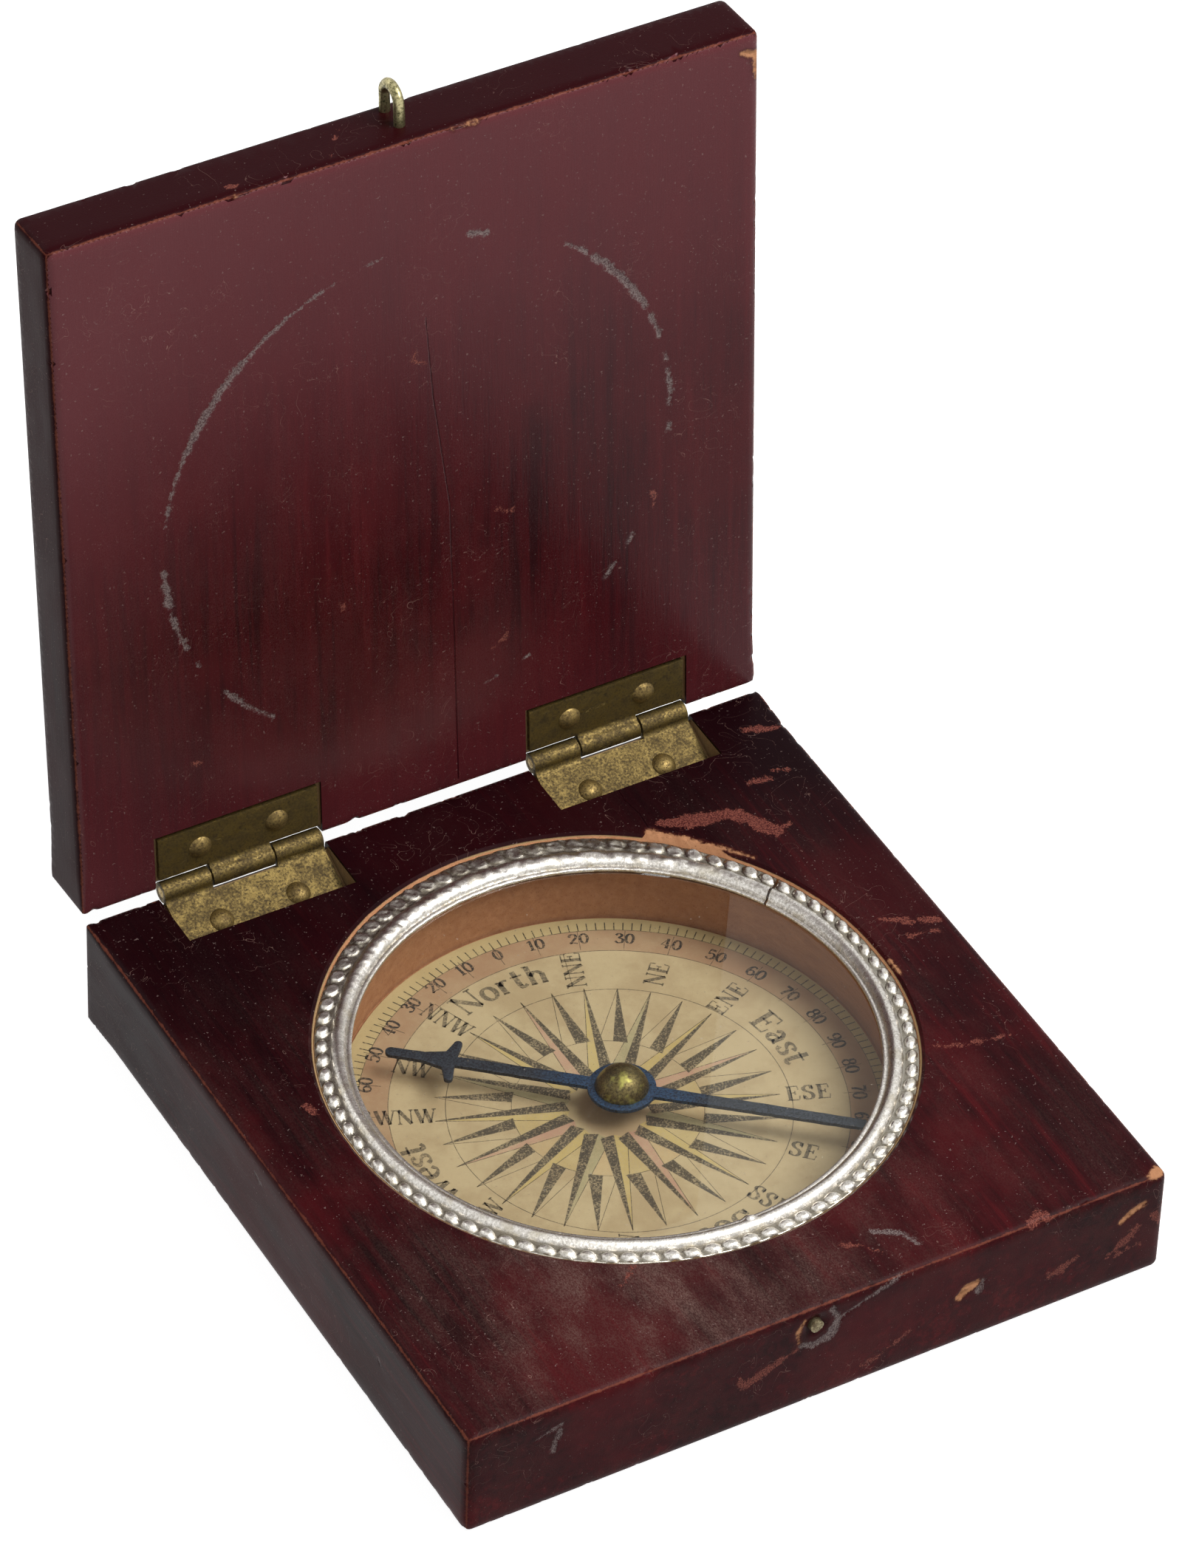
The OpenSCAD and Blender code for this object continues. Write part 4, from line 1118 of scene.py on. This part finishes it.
def bezel_ring(material):
    """The split ring: a smooth round, a beaded border, and the dents of its history."""
    profile = ring_profile()
    middle = RING_R - BAND_WIDTH / 2
    beads = int(2 * math.pi * middle / BEAD_PITCH)
    count = beads * SEGMENTS
    radius, height = profile[:, 0], profile[:, 1]
    on_band = (radius > RING_R - BAND_WIDTH) & (radius < RING_R - 0.03) & (height > RING_LOW[2] + 0.45)
    on_round = (height > RING_LOW[2] + FOOT_HEIGHT - 0.08) & ~on_band
    jitter = np.random.default_rng(5).normal(size=(beads + 1, 3))
    gap = math.degrees(SPLIT_WIDTH / 2 / 25.3)
    points = []
    hollow = []
    for bearing in np.linspace(SPLIT + gap, SPLIT + 360 - gap, count):
        slant = (radius - 25.3) * math.tan(math.radians(SPLIT_SLANT)) / 25.3
        turn = math.radians(bearing) + slant
        r, z = radius.copy(), height.copy()
        share = (bearing - SPLIT) / (360 / beads)
        which = int(share) % beads
        off = (share - int(share) - 0.5) * 2 * math.pi * middle / beads + 0.05 * jitter[which, 0]
        crushed = np.interp(bearing, [SPLIT, 45, 60, 128, 142, 150], [0.3, 0.8, 1.1, 1.0, 0.4, 0])
        size = BEAD_R * (1 + 0.04 * jitter[which, 1])
        away = ((r - middle - 0.03 * jitter[which, 2]) / size) ** 2 + (off / BEAD_HALF) ** 2
        bead = 0.72 * size * np.sqrt(np.clip(1 - away, 0, None))
        bead = np.minimum(bead, size * (0.66 - 0.5 * crushed))
        hollow.append(np.where(on_band, 1 - bead / 0.2, 1 - np.abs(radius - GROOVE_R) / 0.22))
        z = z + on_band * bead
        z = z - on_round * 0.22 * crushed * np.clip(z - RING_LOW[2] - 0.6, 0, 1)
        points.append(np.column_stack([WELL_X + r * np.cos(turn), WELL_Y + r * np.sin(turn), z]))
    points = np.concatenate(points)
    at = points - (WELL_X, WELL_Y, RING_LOW[2])
    bearing = np.degrees(np.arctan2(at[:, 1], at[:, 0])) % 360
    r = np.linalg.norm(at[:, :2], axis=1)
    spread = spread_at(bearing) * (r - LIP_R) / (RING_R - LIP_R)
    points[:, :2] += at[:, :2] / r[:, None] * spread[:, None]
    harm = np.interp(bearing, [0, 27, 45, 60, 105, 125, 150, 360], [0.4, 0.6, 1.6, 2.2, 2.2, 1.2, 0.4, 0.4])
    above = np.clip((at[:, 2] - 0.25) / 0.3, 0, 1)
    points[:, 2] += above * harm * 0.035 * smooth_noise(points, 1.7, 11)
    points[:, 2] -= above * 0.07 * (harm > 1) * np.clip(smooth_noise(points, 0.8, 12) - 0.35, 0, 1)
    sway = above * harm * 0.03 * smooth_noise(points, 2.4, 13)
    points[:, :2] += at[:, :2] / r[:, None] * sway[:, None]
    lump = np.hypot(points[:, 0] + 0.4, points[:, 1] + 23.6)
    points[:, 2] += 0.42 * np.exp(-((lump / 0.5) ** 4)) * (at[:, 2] > 0.2) * (r < 24.7)
    points[:, 2] = np.minimum(points[:, 2], LID_Z - LID_CLEAR)
    step = len(profile)
    faces = []
    for i in range(count - 1):
        a, b = i * step, (i + 1) * step
        for j in range(step):
            k = (j + 1) % step
            faces.append((a + j, b + j, b + k, a + k))
    last = (count - 1) * step
    faces.append(tuple(range(step)))
    faces.append(tuple(last + j for j in reversed(range(step))))
    ring = add_piece("beaded_ring", points, faces, "base", material, ["bezel_ring"], 50)
    set_values(ring.data, "hollow", np.concatenate(hollow))
    return ring


def pewter():
    """Pewter, bright on its rounds, with dirt in its hollows."""
    s = Shader("pewter")
    place = s.place()
    stipple = s.noise(place, 4.0, 5, 0.75)
    patch = s.noise(place, 0.5, 3, 0.6)
    bright = s.mix(s.ramp(stipple, 0.35, 0.65), linear(166, 160, 151), linear(236, 232, 225))
    colour = s.mix(s.ramp(patch, 0.5, 0.66, 0.0, 0.5), bright, linear(180, 170, 148))
    dirt = s.ramp(s.add(s.value("hollow"), s.times(s.add(stipple, -0.5), 1.2)), 0.25, 0.95, 0.0, 0.75)
    colour = s.mix(dirt, colour, linear(112, 104, 86))
    return s.surface(
        Base_Color=colour, Metallic=1.0, Roughness=s.ramp(stipple, 0.3, 0.7, 0.42, 0.22),
        Normal=s.bump(stipple, 0.5, 0.05),
    )


def softened(node, name, body, material, width=0.07, wobble=0.0, seed=1, angle=35):
    """A copy of a CAD node with its corners joined and its edges rubbed round."""
    bm = joined_copy(node)
    bmesh.ops.dissolve_limit(
        bm, angle_limit=math.radians(0.6), verts=bm.verts, edges=bm.edges, delimit={"NORMAL"})
    edges = [
        e for e in bm.edges
        if len(e.link_faces) == 2 and e.calc_face_angle(0) > math.radians(30)
        and e.calc_length() > 0.02
    ]
    bmesh.ops.bevel(
        bm, geom=edges, offset=width, segments=2, profile=0.6, affect="EDGES", clamp_overlap=True)
    points, faces = triangles(bm)
    if wobble:
        points, faces = refine(points, faces, lambda middles: np.full(len(middles), 0.6), 0.6)
        sway = [smooth_noise(points, 1.4, seed + k) for k in range(3)]
        points = points + wobble * np.column_stack(sway)
    mesh = triangle_mesh(name, points, faces)
    return finish_piece(name, mesh, body, material, [node], angle)


# How much paler (1) or darker (-1) the wood is painted, from front to back and from left to right
# Painted light: the base's darker back beside the lid is painted shade, its paler front a painted reflection
BASE_PAINTED_LIGHT_ENDS = ((-36, 0.1), (-10, -0.05), (14, -0.35), (26, -0.8), (36, -0.85))
# Painted reflection: the lid paler at its top (front when closed) and toward its hinge
LID_PAINTED_LIGHT_ENDS = ((-36, 0.9), (-18, 0.6), (-4, 0.2), (10, -0.05), (24, 0.12), (36, 0.35))
# The base a little darker toward its right
BASE_SIDES = ((-35, 0.0), (22, 0.05), (35, -0.3))
# Painted reflection: the lid paler toward its left
LID_PAINTED_LIGHT_SIDES = ((-35, 0.4), (-22, 0.1), (-10, 0.0), (35, 0.0))


def dress_base():
    """The base block, with its chips, scuffs and worn arrises."""
    marks = {"bare": BASE_BARE, "pale": BASE_PALE, "dent": BASE_GREY, "crack": BASE_CRACK}
    mesh = block_mesh(
        "base_wood", "base_block", BASE_LOW, BASE_HIGH, marks, BASE_PAINTED_LIGHT_ENDS, BASE_SIDES,
        lambda p: p, lambda p: p)
    # The fourth colour is the paler wood of the base's painted reflection at its front
    material = wood(
        "mahogany_base", linear(20, 2, 5), linear(42, 6, 11), linear(76, 15, 20), linear(76, 15, 20),
        0.04, 0.3, 0.75)
    finish_piece("base_wood", mesh, "base", material, ["base_block"], 35)


def dress_lid():
    """The lid, whose inner face bears the ring's marks."""
    marks = {"bare": LID_BARE, "pale": LID_PALE, "dent": LID_DENT, "crack": LID_CRACK}
    mesh = block_mesh("lid_wood", "lid_panel", LID_LOW, LID_HIGH, marks, LID_PAINTED_LIGHT_ENDS, LID_PAINTED_LIGHT_SIDES, closed, opened)
    # The fourth colour is the grey-pink of the painted reflection on the lid's top and left
    material = wood(
        "mahogany_lid", linear(38, 4, 9), linear(58, 8, 14), linear(74, 16, 21), linear(94, 46, 50),
        0.12, 0.2, 0.2)
    piece = finish_piece("lid_wood", mesh, "lid", material, ["lid_panel"], 35)
    # Painted shade: the lid's edges get a darker copy of its wood
    piece.data.materials.append(
        wood("mahogany_edge_painted_shade", linear(18, 2, 5), linear(33, 4, 8), linear(50, 9, 13), linear(40, 6, 10),
             0.03, 0.3, 0.3))
    piece.data.materials.append(
        wood("mahogany_outside", linear(26, 3, 7), linear(50, 8, 13), linear(78, 18, 23),
             linear(66, 13, 18), 0.08, 0.26, 0.25))
    normals = np.zeros(len(mesh.polygons) * 3)
    mesh.polygons.foreach_get("normal", normals)
    inner_face = (0, -math.sin(LID_OPEN), -math.cos(LID_OPEN))
    facing = normals.reshape(-1, 3) @ inner_face
    kinds = np.select([facing > 0.8, facing < -0.8], [0, 2], 1)
    mesh.polygons.foreach_set("material_index", kinds.astype(np.int32))


def dress_metal():
    """Hinges, nails, eye, pins, needle and cap."""
    hinge = metal("hinge_brass", linear(110, 92, 47), linear(70, 57, 31), 0.42, 4.5, 0.5,
                  linear(46, 37, 22), 0.75)
    pin = metal("hinge_pin_brass", linear(196, 172, 112), linear(120, 98, 60), 0.32)
    nail = metal("nail_brass", linear(142, 120, 70), linear(88, 72, 42), 0.4, 4.5, 0.5,
                 linear(44, 32, 20), 0.8)
    eye = metal("eye_brass", linear(186, 176, 134), linear(96, 92, 62), 0.32, 4.0, 0.55,
                linear(52, 50, 34))
    latch = metal("pin_brass", linear(150, 140, 110), linear(84, 72, 54), 0.4, 4.0, 0.5)
    for side in ("left", "right"):
        for body, leaf in (("lid", "lid_leaf"), ("base", "base_leaf")):
            node = f"{side}_hinge_{leaf}"
            softened(node, node + "_brass", body, hinge, 0.06, 0.018, len(node))
        node = f"{side}_hinge_pin"
        softened(node, node + "_brass", "base", pin, 0.05)
        for body in ("lid", "base"):
            node = f"{side}_{body}_nails"
            softened(node, node + "_brass", body, nail, 0.05, 0.012, len(node) + 3)
    softened("lid_eye", "lid_eye_brass", "lid", eye, 0.04, 0.02, 8)
    softened("latch_pin", "latch_pin_brass", "base", latch, 0.08, 0.03, 9)
    softened("needle", "needle_steel", "needle_body", blued_steel(), 0.06, 0.02, 10)
    softened("needle_cap", "needle_cap_brass", "needle_body", cap_brass(), 0.04)
    steel = metal("pivot_steel", linear(170, 168, 162), linear(110, 106, 98), 0.3)
    set_material("pivot_pin", steel)


def set_material(node, material):
    for slot in nodes[node].material_slots:
        slot.material = material


# The photograph's viewpoint, and the light of its studio
IMAGE_WIDTH = 1600
FOCAL_PIXELS = 10965.75
AZIMUTH = math.radians(-30.551)
ELEVATION = math.radians(41.882)
ROLL = math.radians(2.146)
DISTANCE = 728.053
SHIFT_RIGHT = -3.482
SHIFT_UP = 31.953
SENSOR = 36.0
FLOOR_GREY = 0.4
FLOOR_GLOW = 0.88
AMBIENT = 0.28
# Each lamp's name, direction, distance and size in metres, and power
LAMPS = (
    ("key", (0.6, -0.5, 1.25), 0.6, 0.36, 3.8),
    ("back", (-0.25, 0.9, 0.7), 0.9, 0.6, 1.0),
    ("fill", (-0.5, -0.8, 0.9), 0.9, 0.6, 0.9),
)


def add_camera():
    back = Vector((
        math.sin(AZIMUTH) * math.cos(ELEVATION),
        -math.cos(AZIMUTH) * math.cos(ELEVATION),
        math.sin(ELEVATION),
    ))
    right = Vector((math.cos(AZIMUTH), math.sin(AZIMUTH), 0))
    up = back.cross(right)
    place = (back * DISTANCE + right * SHIFT_RIGHT + up * SHIFT_UP) * MM
    c, s = math.cos(ROLL), math.sin(ROLL)
    right, up = c * right + s * up, c * up - s * right
    data = bpy.data.cameras.new("camera")
    data.sensor_fit = "HORIZONTAL"
    data.sensor_width = SENSOR
    data.lens = FOCAL_PIXELS * SENSOR / IMAGE_WIDTH
    data.clip_start = 0.01
    data.clip_end = 20
    camera = bpy.data.objects.new("camera", data)
    camera.matrix_world = Matrix((
        (right.x, up.x, back.x, place.x),
        (right.y, up.y, back.y, place.y),
        (right.z, up.z, back.z, place.z),
        (0, 0, 0, 1),
    ))
    bpy.context.scene.collection.objects.link(camera)
    bpy.context.scene.camera = camera


def add_lamp(name, toward, distance, size, power):
    """A soft square lamp that faces the box from the direction toward."""
    data = bpy.data.lights.new(name, "AREA")
    data.shape = "SQUARE"
    data.size = size
    data.energy = power
    lamp = bpy.data.objects.new(name, data)
    way = Vector(toward).normalized()
    lamp.location = way * distance
    lamp.rotation_euler = way.to_track_quat("Z", "Y").to_euler()
    bpy.context.scene.collection.objects.link(lamp)


SEEN_RAYS = ("Is Camera Ray", "Is Glossy Ray", "Is Transmission Ray")


def seen_directly(s):
    """1 for the camera and for what metal, gloss and glass show, 0 for diffuse light."""
    path = s.node("LightPath")
    rays = [path.outputs[name] for name in SEEN_RAYS]
    return s.math("MAXIMUM", s.math("MAXIMUM", rays[0], rays[1]), rays[2])


def add_floor():
    """A floor that looks white and keeps the box's shadow."""
    mesh = bpy.data.meshes.new("floor")
    half = 4.0
    corners = [(-half, -half, 0), (half, -half, 0), (half, half, 0), (-half, half, 0)]
    mesh.from_pydata(corners, [], [(0, 1, 2, 3)])
    floor = bpy.data.objects.new("floor", mesh)
    bpy.context.scene.collection.objects.link(floor)
    s = Shader("floor")
    plain = s.node("BsdfDiffuse")
    plain.inputs["Color"].default_value = (FLOOR_GREY, FLOOR_GREY, FLOOR_GREY, 1)
    glow = s.node("Emission")
    s.feed(glow.inputs["Strength"], s.times(seen_directly(s), FLOOR_GLOW))
    joined = s.node("AddShader")
    s.feed(joined.inputs[0], plain.outputs[0])
    s.feed(joined.inputs[1], glow.outputs[0])
    s.feed(s.output.inputs["Surface"], joined.outputs[0])
    mesh.materials.append(s.material)


def add_surroundings():
    """White surroundings, dimmer for diffuse light than for what is seen in them."""
    world = bpy.data.worlds.new("surroundings")
    bpy.context.scene.world = world
    world.use_nodes = True
    tree = world.node_tree
    path = tree.nodes.new("ShaderNodeLightPath")
    largest = path.outputs[SEEN_RAYS[0]]
    for name in SEEN_RAYS[1:]:
        both = tree.nodes.new("ShaderNodeMath")
        both.operation = "MAXIMUM"
        tree.links.new(largest, both.inputs[0])
        tree.links.new(path.outputs[name], both.inputs[1])
        largest = both.outputs[0]
    strength = tree.nodes.new("ShaderNodeMapRange")
    tree.links.new(largest, strength.inputs["Value"])
    strength.inputs["To Min"].default_value = AMBIENT
    strength.inputs["To Max"].default_value = 1.0
    background = tree.nodes["Background"]
    background.inputs["Color"].default_value = (1, 1, 1, 1)
    tree.links.new(strength.outputs[0], background.inputs["Strength"])


def main():
    bpy.context.scene.view_settings.view_transform = "Standard"
    add_camera()
    add_floor()
    add_surroundings()
    for lamp in LAMPS:
        add_lamp(*lamp)
    dress_base()
    dress_lid()
    bezel_ring(pewter())
    dress_metal()
    set_material("glass_cover", clear_glass())
    set_material("compass_card", card_paper())
    print_card()


main()
